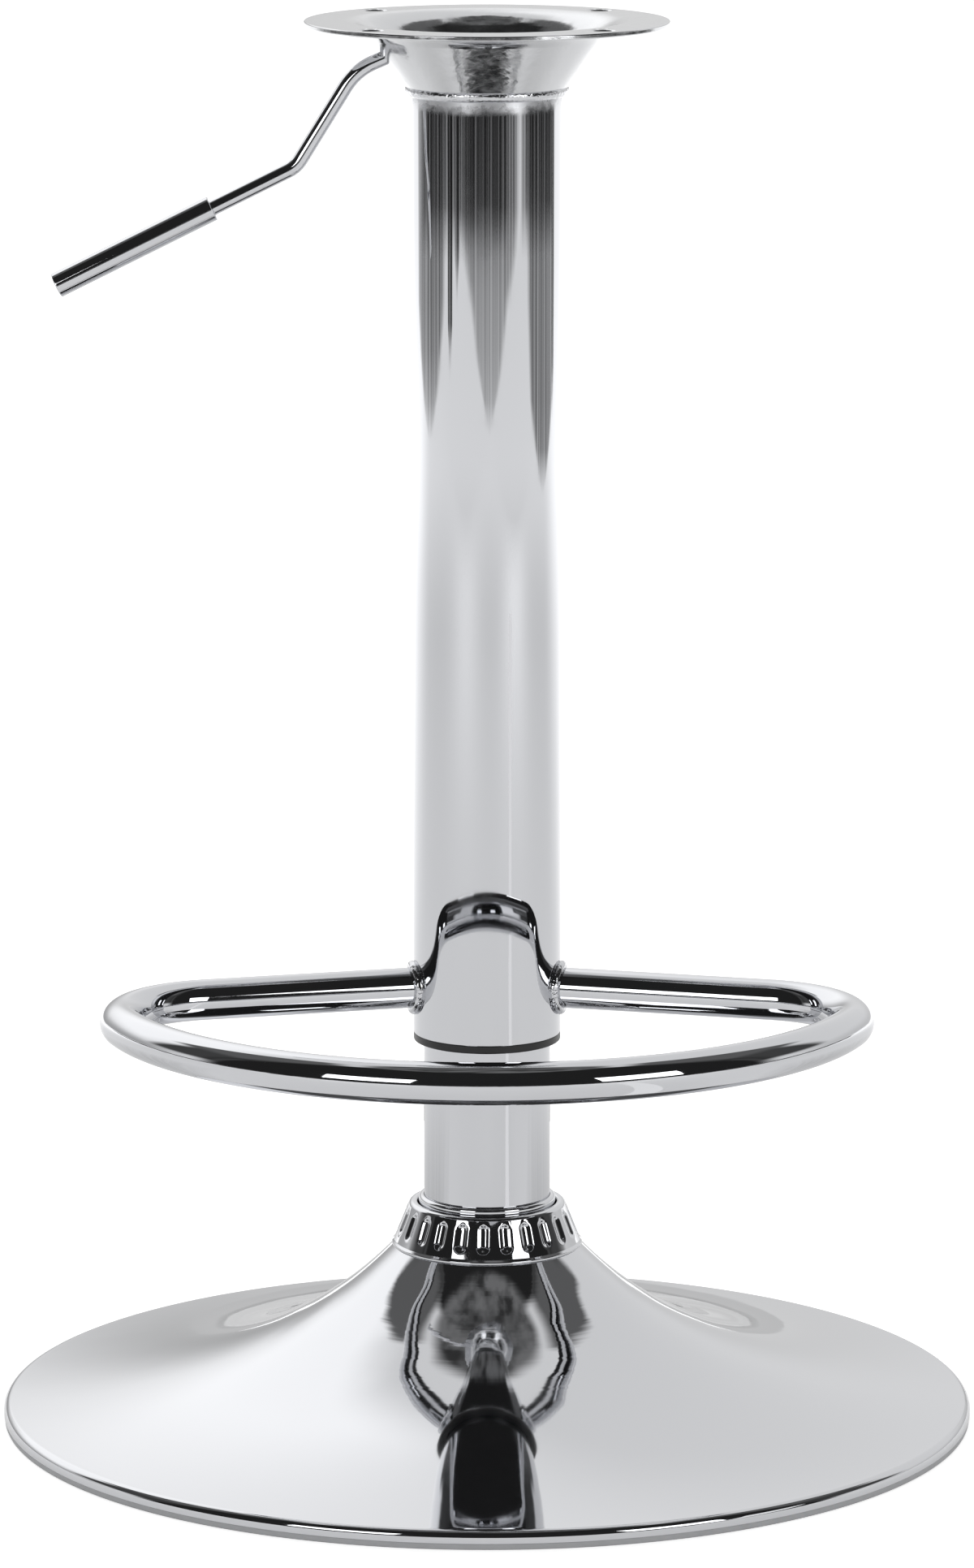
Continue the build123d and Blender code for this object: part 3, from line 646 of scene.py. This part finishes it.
rise = add(pressing, "Math", [parts.outputs[2], given["Middle Height"]], "SUBTRACT")
up = add(pressing, "Math", [rise], "ABSOLUTE")
straight = add(pressing, "Math", [given["Length"], given["Width"]], "SUBTRACT")
half_straight = add(pressing, "Math", [straight, 0.5], "MULTIPLY")
beyond = add(pressing, "Math", [up, half_straight], "SUBTRACT")
past = add(pressing, "Math", [beyond, 0.0], "MAXIMUM")
offset = add(pressing, "CombineXYZ", {"X": across, "Y": past})
from_line = add(pressing, "VectorMath", [offset], "LENGTH").outputs["Value"]
half_width = add(pressing, "Math", [given["Width"], 0.5], "MULTIPLY")
floor_edge = add(pressing, "Math", [half_width, given["Soft Edge"]], "SUBTRACT")
pushed = add(pressing, "MapRange", {"Value": from_line, "From Min": floor_edge, "From Max": half_width,
    "To Min": given["Depth"], "To Max": 0.0}, interpolation_type="SMOOTHERSTEP")
on_wall = add(pressing, "FunctionNodeCompare", {"A": radius, "B": given["Least Radius"]},
    data_type="FLOAT", operation="GREATER_THAN")
back = add(pressing, "Math", [pushed, -1.0], "MULTIPLY")
push = add(pressing, "VectorMath", {0: inwards, "Scale": back}, "SCALE")
pressed = add(pressing, "GeometryNodeSetPosition", {"Geometry": given["Geometry"], "Selection": on_wall,
    "Offset": push})
end_tree(pressing, pressed, given["Material"])
print("pressing tree has", len(pressing.nodes), "nodes")

# %% Turn the collar and press its dimples
collar_top_radius = collar_bore + 3.1
wall_foot = collar_high.x - 0.9
lip_inner = wall_foot - collar_sheet
lip_low = flare_height(collar_high.x) + 0.1
wall_low = lip_low + 2.4
wall_row = 0.4


def wall_rows(start, end):
    """Plain section points from one (radius, height) to another, a wall row apart."""
    steps = ceil(hypot(end[0] - start[0], end[1] - start[1]) / wall_row)
    return [(start[0] + (end[0] - start[0]) * k / steps, start[1] + (end[1] - start[1]) * k / steps, 0)
            for k in range(1, steps)]


lean_share = (wall_foot - collar_top_radius) / (collar_high.z - wall_low)
upper_end = (collar_top_radius + 2.4 * lean_share, collar_high.z - 2.4)
lower_end = (wall_foot - 0.8 * lean_share, wall_low + 0.8)
inner_top = (collar_top_radius - collar_sheet, collar_high.z - collar_sheet)
inner_low = (lip_inner, flare_height(lip_inner) + 0.1)
collar = turned("neck_collar", rounded([
    (*inner_low, 0.3),
    (collar_high.x, lip_low, 0.35),
    (collar_high.x, lip_low + 1.5, 0.55),
    (wall_foot, wall_low, 0.35),
    *wall_rows(lower_end, upper_end),
    (collar_top_radius, collar_high.z, 2.0),
    (collar_bore, collar_high.z, 0.9),
    (collar_bore, collar_high.z - 3.0, 0.3),
    (hem_radius, collar_high.z - 3.0, 0.3),
    (hem_radius, collar_high.z - collar_sheet, 0.2),
    (*inner_top, 0.5),
    *wall_rows((inner_top[0] + 0.6 * lean_share, inner_top[1] - 0.9), (inner_low[0], inner_low[1] + 1.0)),
]), chrome_pressed, 480)
grow(collar, pressing, chrome_pressed, dimples)
settle(collar, "stand", "chrome", "collar_ring")

# %% [markdown]
# ## The top plate
# A disc of 2 mm steel is pressed into a dish with a flat flange. Four holes take the seat's screws, and a
# slot in the sloping wall lets the lever through. The section is turned, and the holes are cut with
# booleans: they lie in flat or plainly conical places, where a cut leaves the mirror as it was. The punch
# for the screw holes flares at its top, so each hole gets the rolled edge that catches the light.
# The inside of the dish was blasted and not polished, so its faces get the grained finish, whose darker
# colour is painted shade.

# %% Turn the plate and cut its holes
plate_sheet = 2.0
lean = radians(36.3)
dish_floor_top = plate_high.z - 24.0
dish_floor_low = plate_low.z
floor_radius = column_radius + 3.5
inner_floor = floor_radius - plate_sheet / cos(lean)
outer_floor = floor_radius - plate_sheet * tan(lean)
wall_run = plate_high.z - dish_floor_top
socket_bore = 17.25
plate = turned("seat_plate", rounded([
    (socket_bore, dish_floor_low, 0.2),
    (outer_floor, dish_floor_low, 0.8),
    (outer_floor + wall_run * tan(lean), plate_high.z - plate_sheet, 12.4),
    (plate_high.x, plate_high.z - plate_sheet, 0.5),
    (plate_high.x, plate_high.z, 0.5),
    (inner_floor + wall_run * tan(lean), plate_high.z, 14.4),
    (inner_floor, dish_floor_top, 3.0),
    (socket_bore, dish_floor_top, 0.2),
]), chrome_plate, 288)


def drum(name, radius, length, matrix, stretch=0.0):
    """A cutting tool in mm: a round bar, or a slot's shape when it is stretched along X."""
    points, count = [], 64
    for end in (-length / 2, length / 2):
        for x, y, z in circle_points(radius, end, count):
            x += copysign(stretch / 2, x)
            points.append(matrix @ Vector((x * MM, y * MM, z * MM)))
    faces = [(k, (k + 1) % count, count + (k + 1) % count, count + k) for k in range(count)]
    faces += [tuple(range(count))[::-1], tuple(range(count, 2 * count))]
    return plain_mesh(name, points, (), faces)


def combine(piece, tool, operation="DIFFERENCE"):
    """Takes a tool's shape out of a piece, or joins it on, and removes the tool."""
    boolean = piece.modifiers.new("tool", "BOOLEAN")
    boolean.object, boolean.operation, boolean.solver = tool, operation, "EXACT"
    keep_result(piece)
    bpy.data.objects.remove(tool)


bolt_half, bolt_radius = 44.0, 4.25
edge_roll = 1.3
punch = [(0.0, -3.0, 0), (bolt_radius, -3.0, 0)]
punch += [(bolt_radius + edge_roll * (1 - cos(radians(a))), edge_roll * (sin(radians(a)) - 1), 0)
          for a in range(0, 90, 15)]
punch += [(bolt_radius + edge_roll, 2.0, 0), (0.0, 2.0, 0)]
for x in (-bolt_half, bolt_half):
    for y in (-bolt_half, bolt_half):
        tool = turned("bolt_tool", rounded(punch), chrome_plate, 64)
        tool.data.transform(Matrix.Translation((x * MM, y * MM, plate_high.z * MM)))
        combine(plate, tool)
print("plate has four holes with rolled edges")

# %% [markdown]
# ## The release lever
# The lever is one bent rod. Its inner end presses the valve pin, it turns on a pin in two small ears,
# leaves through the slot, and ends in a chromed sleeve. The rod follows straight runs joined by arcs, as a
# bending machine makes them. A tree sweeps the round rod along that line. The inner end is then pressed
# flat on top, which keeps it below the dish's lip.

# %% The sweeping tree
sweeping, given = new_tree("sweep_a_tube", {"Radius": 0.003, "Round Steps": 32, "Closed Ends": True})
line = add(sweeping, "GeometryNodeMeshToCurve", {"Mesh": given["Geometry"]})
circle = add(sweeping, "GeometryNodeCurvePrimitiveCircle", {"Resolution": given["Round Steps"],
    "Radius": given["Radius"]})
tube = add(sweeping, "GeometryNodeCurveToMesh", {"Curve": line, "Profile Curve": circle,
    "Fill Caps": given["Closed Ends"]})
end_tree(sweeping, tube, given["Material"])
print("sweeping tree has", len(sweeping.nodes), "nodes")


def along(name, points, material, radius, steps, closed_ends=True):
    """Sweeps a tube of a radius in mm along points in mm."""
    line = plain_mesh(name, [Vector(p) * MM for p in points], [(k, k + 1) for k in range(len(points) - 1)])
    values = {"Radius": radius * MM, "Round Steps": steps, "Closed Ends": closed_ends}
    return grow(line, sweeping, material, values)


def bent(points, bends, step=radians(4)):
    """A line in the plane Y = 0 through corner points in mm, with an arc of a given radius at each bend."""
    spots = [complex(*point) for point in points]
    line = [spots[0]]
    for before, here, after, size in zip(spots, spots[1:], spots[2:], bends):
        line += round_corner(before, here, after, size, step, 4, 0.3)
    line.append(spots[-1])
    return [(p.real, 0.0, p.imag) for p in line]


# %% Bend the lever
lever_radius = 3.0
lever_level = pin_high.z + 0.3 + lever_radius
inner_end = (4.5, lever_level)
knee = (-21.0, lever_level)
shoulder = (-50.7, lever_level - 12.9)
fall = (knee[1] - shoulder[1]) / (knee[0] - shoulder[0])
elbow = (-73.8, lever_level - 50.1)
tip = (-167.2, lever_level - 96.5)
outwards = Vector((tip[0] - elbow[0], 0.0, tip[1] - elbow[1])).normalized()
plug_length = 3.0
rod_end = (tip[0] - plug_length * outwards.x, tip[1] - plug_length * outwards.z)
rod = along("release_lever", bent([inner_end, knee, shoulder, elbow, rod_end], [10.0, 24.0, 12.0]),
            chrome_pressed, lever_radius, 40)
pressed_height = (lever_level + 1.4) * MM
for vertex in rod.data.vertices:
    if vertex.co.x > -30.0 * MM:
        vertex.co.z = min(vertex.co.z, pressed_height)
pivot_x = -27.0
pivot_height = lever_level + (pivot_x - knee[0]) * fall
pivot = Matrix.Translation((pivot_x * MM, 0.0, pivot_height * MM)) @ Matrix.Rotation(pi / 2, 4, "X")
eye = turned("eye", rounded([(0.0, -3.2, 0), (4.2, -3.2, 0.4), (4.2, 3.2, 0.4), (0.0, 3.2, 0)]),
             chrome_pressed, 64)
eye.data.transform(pivot)
combine(rod, eye, "UNION")
eye_bore = 2.05
combine(rod, drum("eye_bore", eye_bore, 10.0, pivot))
settle(rod, "lever", "chrome", "lever_rod")

# %% The grip sleeve and its plug
grip_radius, grip_length = 5.0, 68.0
turn = outwards.to_track_quat("Z", "Y").to_matrix().to_4x4()
grip_place = Matrix.Translation(Vector((tip[0], 0.0, tip[1])) * MM) @ turn
grip = turned("grip_sleeve", rounded([
    (lever_radius + 0.05, -grip_length, 0.25),
    (grip_radius, -grip_length, 0.5),
    (grip_radius, 0.0, 0.6),
    (lever_radius + 0.05, 0.0, 0.5),
]), chrome_pressed, 72)
grip.data.transform(grip_place)
settle(grip, "lever", "chrome", "lever_grip")
plug = turned("grip_stop", rounded([
    (0.0, -plug_length, 0),
    (lever_radius, -plug_length, 0.2),
    (lever_radius, -0.6, 0.5),
    (1.2, -0.6, 0.3),
    (1.0, -1.2, 0.2),
    (0.0, -1.2, 0),
]), black_plastic, 48)
plug.data.transform(grip_place)
settle(plug, "lever", "black_plastic", "grip_plug")

# %% The lever's slot in the plate
slot_height = lever_level + (-floor_radius - 6.0 - knee[0]) * fall
slot_x = -(outer_floor + (slot_height - dish_floor_low) * tan(lean))
slot_turn = Matrix.Rotation(pi / 2 - lean, 4, "Y")
slot_place = Matrix.Translation((slot_x * MM, 0.0, slot_height * MM)) @ slot_turn
slot_radius, slot_stretch = 4.5, 7.5
combine(plate, drum("slot_tool", slot_radius, 16.0, slot_place, slot_stretch))
settle(plate, "column", "dish_chrome", "top_plate")
plate.data.materials.append(chrome_grained_and_shaded)
blasted_top, blasted_radius = (plate_high.z - 0.5) * MM, 54.0 * MM
# The dish's inner faces get the grained chrome: dull from real grain, and darker from painted shade.
grained = [face for face in plate.data.polygons if face.normal.z > 0.02 and face.center.z < blasted_top
           and hypot(face.center.x, face.center.y) < blasted_radius]
for face in grained:
    face.material_index = 1
print(len(grained), "faces of the dish are grained")

# %% [markdown]
# ## The foot hoop
# The hoop is one tube, bent at two corners and bowed at the front, with its ends cut to fit the column.
# Its line is worked out from its width, reach and bend radii, and the same sweeping tree makes the tube.
# It is tipped up by about a degree at the front, and its ends are then pulled on to the column's skin,
# as a tube notcher cuts them.

# %% The hoop's line
hoop_radius = 8.0
hoop_tilt = radians(0.9)
hoop_height = hoop_low.z + hoop_radius
hoop_half_width = hoop_high.x - hoop_radius
hoop_reach = -hoop_low.y - hoop_radius
corner_radius, front_radius, root_offset = 43.0, 147.0, 5.0


def tipped(x, y, z):
    """A point of the level hoop, after the hoop is tipped up a little at the front about its two roots."""
    ahead, above = y + root_offset, z - hoop_height
    return (x, ahead * cos(hoop_tilt) + above * sin(hoop_tilt) - root_offset,
            above * cos(hoop_tilt) - ahead * sin(hoop_tilt) + hoop_height)


front_centre = complex(0.0, front_radius - hoop_reach)
corner_x = hoop_half_width - corner_radius
between = front_radius - corner_radius
corner = complex(corner_x, front_centre.imag - sqrt(between ** 2 - corner_x ** 2))
root = complex(sqrt(column_radius ** 2 - root_offset ** 2) - 1.0, -root_offset)
meet = front_centre + (corner - front_centre) * front_radius / between
swing = phase(1j * sqrt(abs(corner - root) ** 2 - corner_radius ** 2) + corner_radius)
touch = corner + (root - corner) / abs(root - corner) * corner_radius * turn_by(-1j * swing)
right_half = [root, *arc(corner, touch, complex(hoop_half_width, corner.imag), radians(3)),
              *arc(corner, complex(hoop_half_width, corner.imag), meet, radians(3))[1:],
              *arc(front_centre, meet, complex(0.0, -hoop_reach), radians(1.5))[1:]]
hoop_line = right_half + [complex(-p.real, p.imag) for p in right_half[-2::-1]]
print("hoop line has", len(hoop_line), "points; its arm meets the bend at", touch)

# %% Sweep the hoop
hoop = along("foot_rail", [tipped(p.real, p.imag, hoop_height) for p in hoop_line], chrome_pressed,
             hoop_radius, 64, closed_ends=False)
for vertex in hoop.data.vertices:
    y = vertex.co.y / MM
    if abs(vertex.co.x) / MM < column_radius and y > -root_offset - 1.5 * hoop_radius:
        skin = sqrt((column_radius - 0.4) ** 2 - y ** 2)
        vertex.co.x = copysign(skin * MM, vertex.co.x)
wall = hoop.modifiers.new("wall", "SOLIDIFY")
wall.thickness, wall.offset = tube_wall * MM, -1.0
keep_result(hoop)
settle(hoop, "column", "chrome", "foot_hoop")

# %% [markdown]
# ## The weld beads
# Each weld is a chain of small puddles that froze one over the other, so a bead is a tube whose thickness
# swells and pinches at a steady pitch, with a little disorder. A tree makes it from a line: it samples the
# line closely, sets the thickness at each sample by that rule, and sweeps a circle along it.

# %% The bead tree
beading, given = new_tree("lay_a_bead", {"Bead Radius": 0.002, "Ripple Pitch": 0.002, "Ripple Depth": 0.3,
                                         "Disorder": 0.2, "Seed": 1})
line = add(beading, "GeometryNodeMeshToCurve", {"Mesh": given["Geometry"]})
spacing = add(beading, "Math", [given["Ripple Pitch"], 9.0], "DIVIDE")
fine = add(beading, "GeometryNodeResampleCurve", {"Curve": line, "Length": spacing}, mode="LENGTH")
travelled = add(beading, "GeometryNodeSplineParameter").outputs["Length"]
ripples = add(beading, "Math", [travelled, given["Ripple Pitch"]], "DIVIDE")
part = add(beading, "Math", [ripples], "FRACT")
puddle = add(beading, "Math", [ripples], "FLOOR")
centred = add(beading, "Math", [part, 2.0, -1.0], "MULTIPLY_ADD")
pinch = add(beading, "Math", [centred, centred], "MULTIPLY")
depth = add(beading, "Math", [pinch, given["Ripple Depth"]], "MULTIPLY")
swell = add(beading, "Math", [1.0, depth], "SUBTRACT")
low = add(beading, "Math", [1.0, given["Disorder"]], "SUBTRACT")
luck = add(beading, "FunctionNodeRandomValue", {"Min": low, "Max": 1.0, "ID": puddle,
    "Seed": given["Seed"]}, data_type="FLOAT")
size = add(beading, "Math", [swell, luck], "MULTIPLY")
sized = add(beading, "GeometryNodeSetCurveRadius", {"Curve": fine, "Radius": size})
circle = add(beading, "GeometryNodeCurvePrimitiveCircle", {"Resolution": 16, "Radius": given["Bead Radius"]})
bead = add(beading, "GeometryNodeCurveToMesh", {"Curve": sized, "Profile Curve": circle})
end_tree(beading, bead, given["Material"])
print("bead tree has", len(beading.nodes), "nodes")

# %% Lay the beads
def bead_loop(name, points, radius, pitch, depth, disorder, seed):
    """A bead of a radius in mm along a closed line of points in mm."""
    count = len(points)
    line = plain_mesh(name, [Vector(p) * MM for p in points], [(k, (k + 1) % count) for k in range(count)])
    return grow(line, beading, chrome_weld, {"Bead Radius": radius * MM, "Ripple Pitch": pitch * MM,
                                             "Ripple Depth": depth, "Disorder": disorder, "Seed": seed})


def saddle_points(side, reach, count):
    """Points where a tube a little fatter than the hoop's arm meets the column."""
    points = []
    for k in range(count):
        y = -root_offset + reach * cos(2 * pi * k / count)
        z = hoop_height + reach * sin(2 * pi * k / count)
        points.append((side * sqrt((column_radius + 0.6) ** 2 - y ** 2), y, z))
    return points


plate_seam = circle_points(column_radius + 0.4, column_high.z - 0.7, 180)
plate_bead = bead_loop("plate_weld", plate_seam, 2.5, 3.3, 0.40, 0.42, 4)
settle(plate_bead, "column", "chrome", "column_weld")
arm_beads = [bead_loop("arm_weld", saddle_points(side, hoop_radius + 0.7, 90), 2.0, 2.3, 0.6, 0.5, 11 + side)
             for side in (-1, 1)]
with bpy.context.temp_override(active_object=arm_beads[0], selected_editable_objects=arm_beads):
    bpy.ops.object.join()
settle(arm_beads[0], "column", "chrome", "hoop_welds")

# %% [markdown]
# ## The studio
# A plain white room would leave chrome without form. The photograph shows how the piece was lit: white
# paper behind and under it, brightest at the back left, two soft lights in front, and an unlit room
# beyond the paper and overhead. The world paints that room for mirrors only: it works out the azimuth
# and height of every direction, and lays soft windows of light and shade over one another.
# To the camera the background is plain white, and to the lamps' shadows it is an even soft light.

# %% Paint the room
world = bpy.data.worlds.new("studio_room")
bpy.context.scene.world = world
world.use_nodes = True
tree = world.node_tree
towards = add(tree, "SeparateXYZ", [add(tree, "TexCoord").outputs["Generated"]])
side = add(tree, "Math", [towards.outputs[0], towards.outputs[1]], "ARCTAN2")
off_back = add(tree, "Math", [side], "ABSOLUTE")
lift = add(tree, "Math", [towards.outputs[2]], "ARCSINE")


def window(value, low, high, soft):
    """1 where an angle lies between two limits in degrees, with edges that fade over the soft width."""
    rise = add(tree, "MapRange", {"Value": value, "From Min": radians(low - soft / 2),
        "From Max": radians(low + soft / 2)}, interpolation_type="SMOOTHSTEP")
    fall = add(tree, "MapRange", {"Value": value, "From Min": radians(high - soft / 2),
        "From Max": radians(high + soft / 2), "To Min": 1.0, "To Max": 0.0},
        interpolation_type="SMOOTHSTEP")
    return add(tree, "Math", [rise, fall], "MULTIPLY")


def paint(under, strength, across, upright):
    """Lays a patch of a strength over what is there, inside two windows."""
    patch = add(tree, "Math", [across, upright], "MULTIPLY")
    return add(tree, "Mix", {"Factor": patch, "A": under, "B": strength}, data_type="FLOAT")


room = paint(0.9, 1.4, window(side, -64, -3, 26), window(lift, 15, 54, 18))
room = paint(room, 0.50, window(side, -75, 0, 20), window(lift, -5, 9, 14))
room = paint(room, 0.74, window(side, 0, 75, 20), window(lift, -5, 9, 14))
room = paint(room, 0.14, window(off_back, 54, 96, 5), window(lift, 36, 68, 6))
room = paint(room, 0.07, window(off_back, 66, 96, 8), window(lift, 10, 40, 8))
room = paint(room, 0.02, window(off_back, 92, 190, 12), window(lift, -5, 80, 8))
direction = add(tree, "TexCoord").outputs["Generated"]
beams = add(tree, "TexNoise", {"Vector": direction, "Scale": 7.0, "Detail": 3.0})
overhead = add(tree, "MapRange", {"Value": beams, "From Min": 0.38, "From Max": 0.62, "To Min": 0.04,
    "To Max": 0.20})
room = paint(room, overhead, window(off_back, -5, 190, 1), window(lift, 72, 95, 5))


def ray_kinds(tree):
    """1 for a ray from the camera and, apart from that, 1 for a ray that comes from a mirror."""
    rays = add(tree, "LightPath")
    seen_in = [rays.outputs["Is Glossy Ray"], rays.outputs["Is Transmission Ray"]]
    mirrored = add(tree, "Math", seen_in, "MAXIMUM")
    return rays.outputs["Is Camera Ray"], mirrored


from_camera, mirrored = ray_kinds(tree)
plain = add(tree, "MapRange", {"Value": from_camera, "To Min": 0.6, "To Max": 1.05})
strength = add(tree, "Mix", {"Factor": mirrored, "A": plain, "B": room}, data_type="FLOAT")
fill(tree.nodes["Background"], {"Color": linear("#FFFFFF"), "Strength": strength})
print("room painted with", len(tree.nodes), "nodes")

# %% [markdown]
# The floor is white paper. Mirrors see it glow most at the back and far away, where the light fell on it.
# The camera sees it nearly white, so that only the object's own shadow darkens it.

# %% The pale floor
floor_size, floor_steps = 14.0, 96
floor = plain_mesh("floor", circle_points(floor_size, 0.0, floor_steps), (), [tuple(range(floor_steps))])
dry = {"Specular IOR Level": 0.0}
glowing = {**dry, "Emission Color": linear("#FFFFFF")}
floor_material, tree, shader = surface("pale_paper_floor", "#EBEBEB", 0.9, glowing)
from_camera, mirrored = ray_kinds(tree)
place = add(tree, "TexCoord").outputs["Object"]
spot = add(tree, "SeparateXYZ", [place])
back_glow = add(tree, "MapRange", {"Value": spot.outputs[1], "From Min": 0.3, "From Max": 1.7,
    "To Min": 0.14, "To Max": 0.5}, interpolation_type="SMOOTHSTEP")
away = add(tree, "VectorMath", [place], "LENGTH").outputs["Value"]
far_glow = add(tree, "MapRange", {"Value": away, "From Min": 1.8, "From Max": 2.7, "To Max": 0.32},
    interpolation_type="SMOOTHSTEP")
both = add(tree, "Math", [back_glow, far_glow], "ADD")
faint = add(tree, "Math", [mirrored, both], "MULTIPLY")
seen = add(tree, "Math", [far_glow, 0.6, 0.5], "MULTIPLY_ADD")
glow = add(tree, "Math", [from_camera, seen, faint], "MULTIPLY_ADD")
fill(shader, {"Emission Strength": glow})
floor.data.materials.append(floor_material)
print("floor is", 2 * floor_size, "m across")

# %% [markdown]
# Two upright soft lights stand in front, where the tubes show their reflections. Two more behind light the
# floor and the far side, and stay out of the mirrors, because the photograph shows none there.

# %% Soft lights
def spot_at(azimuth, distance, height):
    """A place in metres from its azimuth in degrees, 0 being the front, its distance and its height."""
    turn = radians(azimuth)
    return (distance * sin(turn), -distance * cos(turn), height)


def soft_light(name, azimuth, distance, low, high, width, glow, mirrored=True):
    """An upright area light between two heights, turned to the object, with sizes in metres."""
    data = bpy.data.lights.new(name, "AREA")
    data.shape, data.size, data.size_y = "RECTANGLE", width, high - low
    data.energy = glow * pi * width * (high - low)
    light = bpy.data.objects.new(name, data)
    bpy.context.scene.collection.objects.link(light)
    light.location = spot_at(azimuth, distance, (low + high) / 2)
    facing = Vector((0.0, 0.0, 0.3)) - light.location
    light.rotation_euler = facing.to_track_quat("-Z", "Y").to_euler()
    light.visible_camera = False
    light.visible_glossy = mirrored


soft_light("front_left_light", -33.0, 2.2, 0.5, 1.16, 1.0, 3.2)
soft_light("front_right_light", 43.0, 2.2, 0.4, 1.16, 0.95, 3.2)
soft_light("back_left_light", -150.0, 2.6, 1.4, 3.0, 2.0, 3.0, mirrored=False)
soft_light("back_right_light", 150.0, 2.6, 1.4, 3.0, 2.0, 2.0, mirrored=False)
print("four soft lights set up")

# %% [markdown]
# The unlit room also begins where the paper ends. It shows in the upper third of the column as dark
# streaks with soft tips, because the upright mirror stretches what lies on the floor. Dark cards lie there,
# each pointed at the column. Their shade fades at the edges and at the tip, by an attribute on the mesh,
# and a noise that runs round the column breaks it into fine streaks. Each card lies a little above the
# last one, because see-through cards at one height would hide each other.

# %% Dark cards beyond the paper, and painted shade behind the foot
card_material, tree, shader = surface("dark_room_floor", "#262626", 1.0, dry)
spot = add(tree, "SeparateXYZ", [add(tree, "TexCoord").outputs["Object"]])
turn = add(tree, "Math", [spot.outputs[0], spot.outputs[1]], "ARCTAN2")
things = add(tree, "TexNoise", {"W": turn, "Scale": 16.0, "Detail": 5.0}, noise_dimensions="1D")
dimness = add(tree, "MapRange", {"Value": things, "From Min": 0.35, "From Max": 0.6, "To Min": 0.64,
    "To Max": 0.97})
fade = add(tree, "Attribute", attribute_name="shade").outputs["Fac"]
shade = add(tree, "Math", [fade, dimness], "MULTIPLY")
clear = add(tree, "BsdfTransparent")
blend = add(tree, "MixShader", [shade, clear, shader.outputs[0]])
fill(tree.nodes["Material Output"], {"Surface": blend})


def for_mirrors(made, material):
    """Gives a patch its material and shows it to mirrors only."""
    made.data.materials.append(material)
    made.visible_camera = made.visible_diffuse = made.visible_shadow = False


cards = []
card_lift = 0.0008


def lay_card(name, azimuth, rows):
    """A patch that points at the column, from rows of distance in metres, half angle and shade."""
    steps = 24
    cards.append(name)
    points, shades = [], []
    for distance, half_angle, shade in rows:
        for k in range(steps + 1):
            across = 2 * k / steps - 1
            points.append(spot_at(azimuth + across * half_angle, distance, card_lift * len(cards)))
            shades.append(shade * min(1.0, (1 - abs(across)) / 0.2))
    width = steps + 1
    faces = [(width * r + k, width * r + k + 1, width * (r + 1) + k + 1, width * (r + 1) + k)
             for r in range(len(rows) - 1) for k in range(steps)]
    made = plain_mesh(name, points, (), faces)
    made.data.attributes.new("shade", "FLOAT", "POINT").data.foreach_set("value", shades)
    for_mirrors(made, card_material)


lay_card("left_room", -42.0, [(3.9, 84, 0), (4.3, 84, 0.9), (5.2, 84, 1), (12, 84, 1)])
lay_card("right_room", 88.0, [(3.9, 36, 0), (4.3, 36, 0.9), (5.2, 36, 1), (12, 36, 1)])
left_rows = [(2.71, 0, 0), (2.93, 15, 0.6), (3.22, 26, 0.8), (3.54, 33, 0.85), (8, 36, 0.9)]
lay_card("left_card", -100.0, left_rows)
lay_card("left_stand", -59.0, [(3.13, 0, 0), (3.4, 4, 1), (8, 6, 1)])
lay_card("left_line", -47.0, [(3.5, 0, 0), (3.9, 4, 0.9), (8, 5, 1)])
front_rows = [(2.75, 0, 0), (2.93, 10, 0.5), (3.22, 22, 0.6), (3.54, 30, 0.65), (3.9, 43, 0.75)]
lay_card("front_card", 4.0, front_rows + [(4.2, 48, 0.9), (8, 50, 1)])
right_rows = [(2.44, 0, 0), (2.66, 16, 0.8), (2.93, 27, 0.85), (3.54, 32, 0.85), (8, 36, 0.9)]
lay_card("right_card", 96.0, right_rows)
lay_card("right_line", 122.0, [(2.75, 0, 0), (3.1, 3, 0.8), (8, 4, 0.9)])
# The last card is not the far room: it paints shade on the floor just behind the foot, for mirrors only.
lay_card("painted_shade_behind_foot", 180.0, [(0.17, 110, 0.3), (0.3, 110, 0.3), (0.55, 110, 0)])
print(len(cards), "dark cards laid")

# %% [markdown]
# Two lit papers finish the studio, for mirrors only. A low strip behind the foot hides the white line where
# floor and background meet, which the foot's far flanks would show as bright ovals. A narrow crease in the
# floor's paper gives the tubes their thin light line.

# %% Two lit papers
def lit_paper(name, glow, points, faces):
    """A patch of paper that mirrors see at a given brightness."""
    paper = surface(name, "#000000", 0.5, {**glowing, "Emission Strength": glow})[0]
    for_mirrors(plain_mesh(name, points, (), faces), paper)


strip_distance, strip_height, steps = 0.5, 0.024, 48
strip = [spot_at(158 + 44 * k / steps, strip_distance, height)
         for k in range(steps + 1) for height in (0.0, strip_height)]
lit_paper("low_strip", 0.61, strip, [(2 * k, 2 * k + 1, 2 * k + 3, 2 * k + 2) for k in range(steps)])
crease_height = 0.009
crease = [spot_at(azimuth, distance, crease_height)
          for azimuth, distance in ((32, 0.2), (41, 0.2), (38, 1.9), (34, 1.9))]
lit_paper("bright_crease", 1.08, crease, [(0, 1, 2, 3)])
print("studio ready")
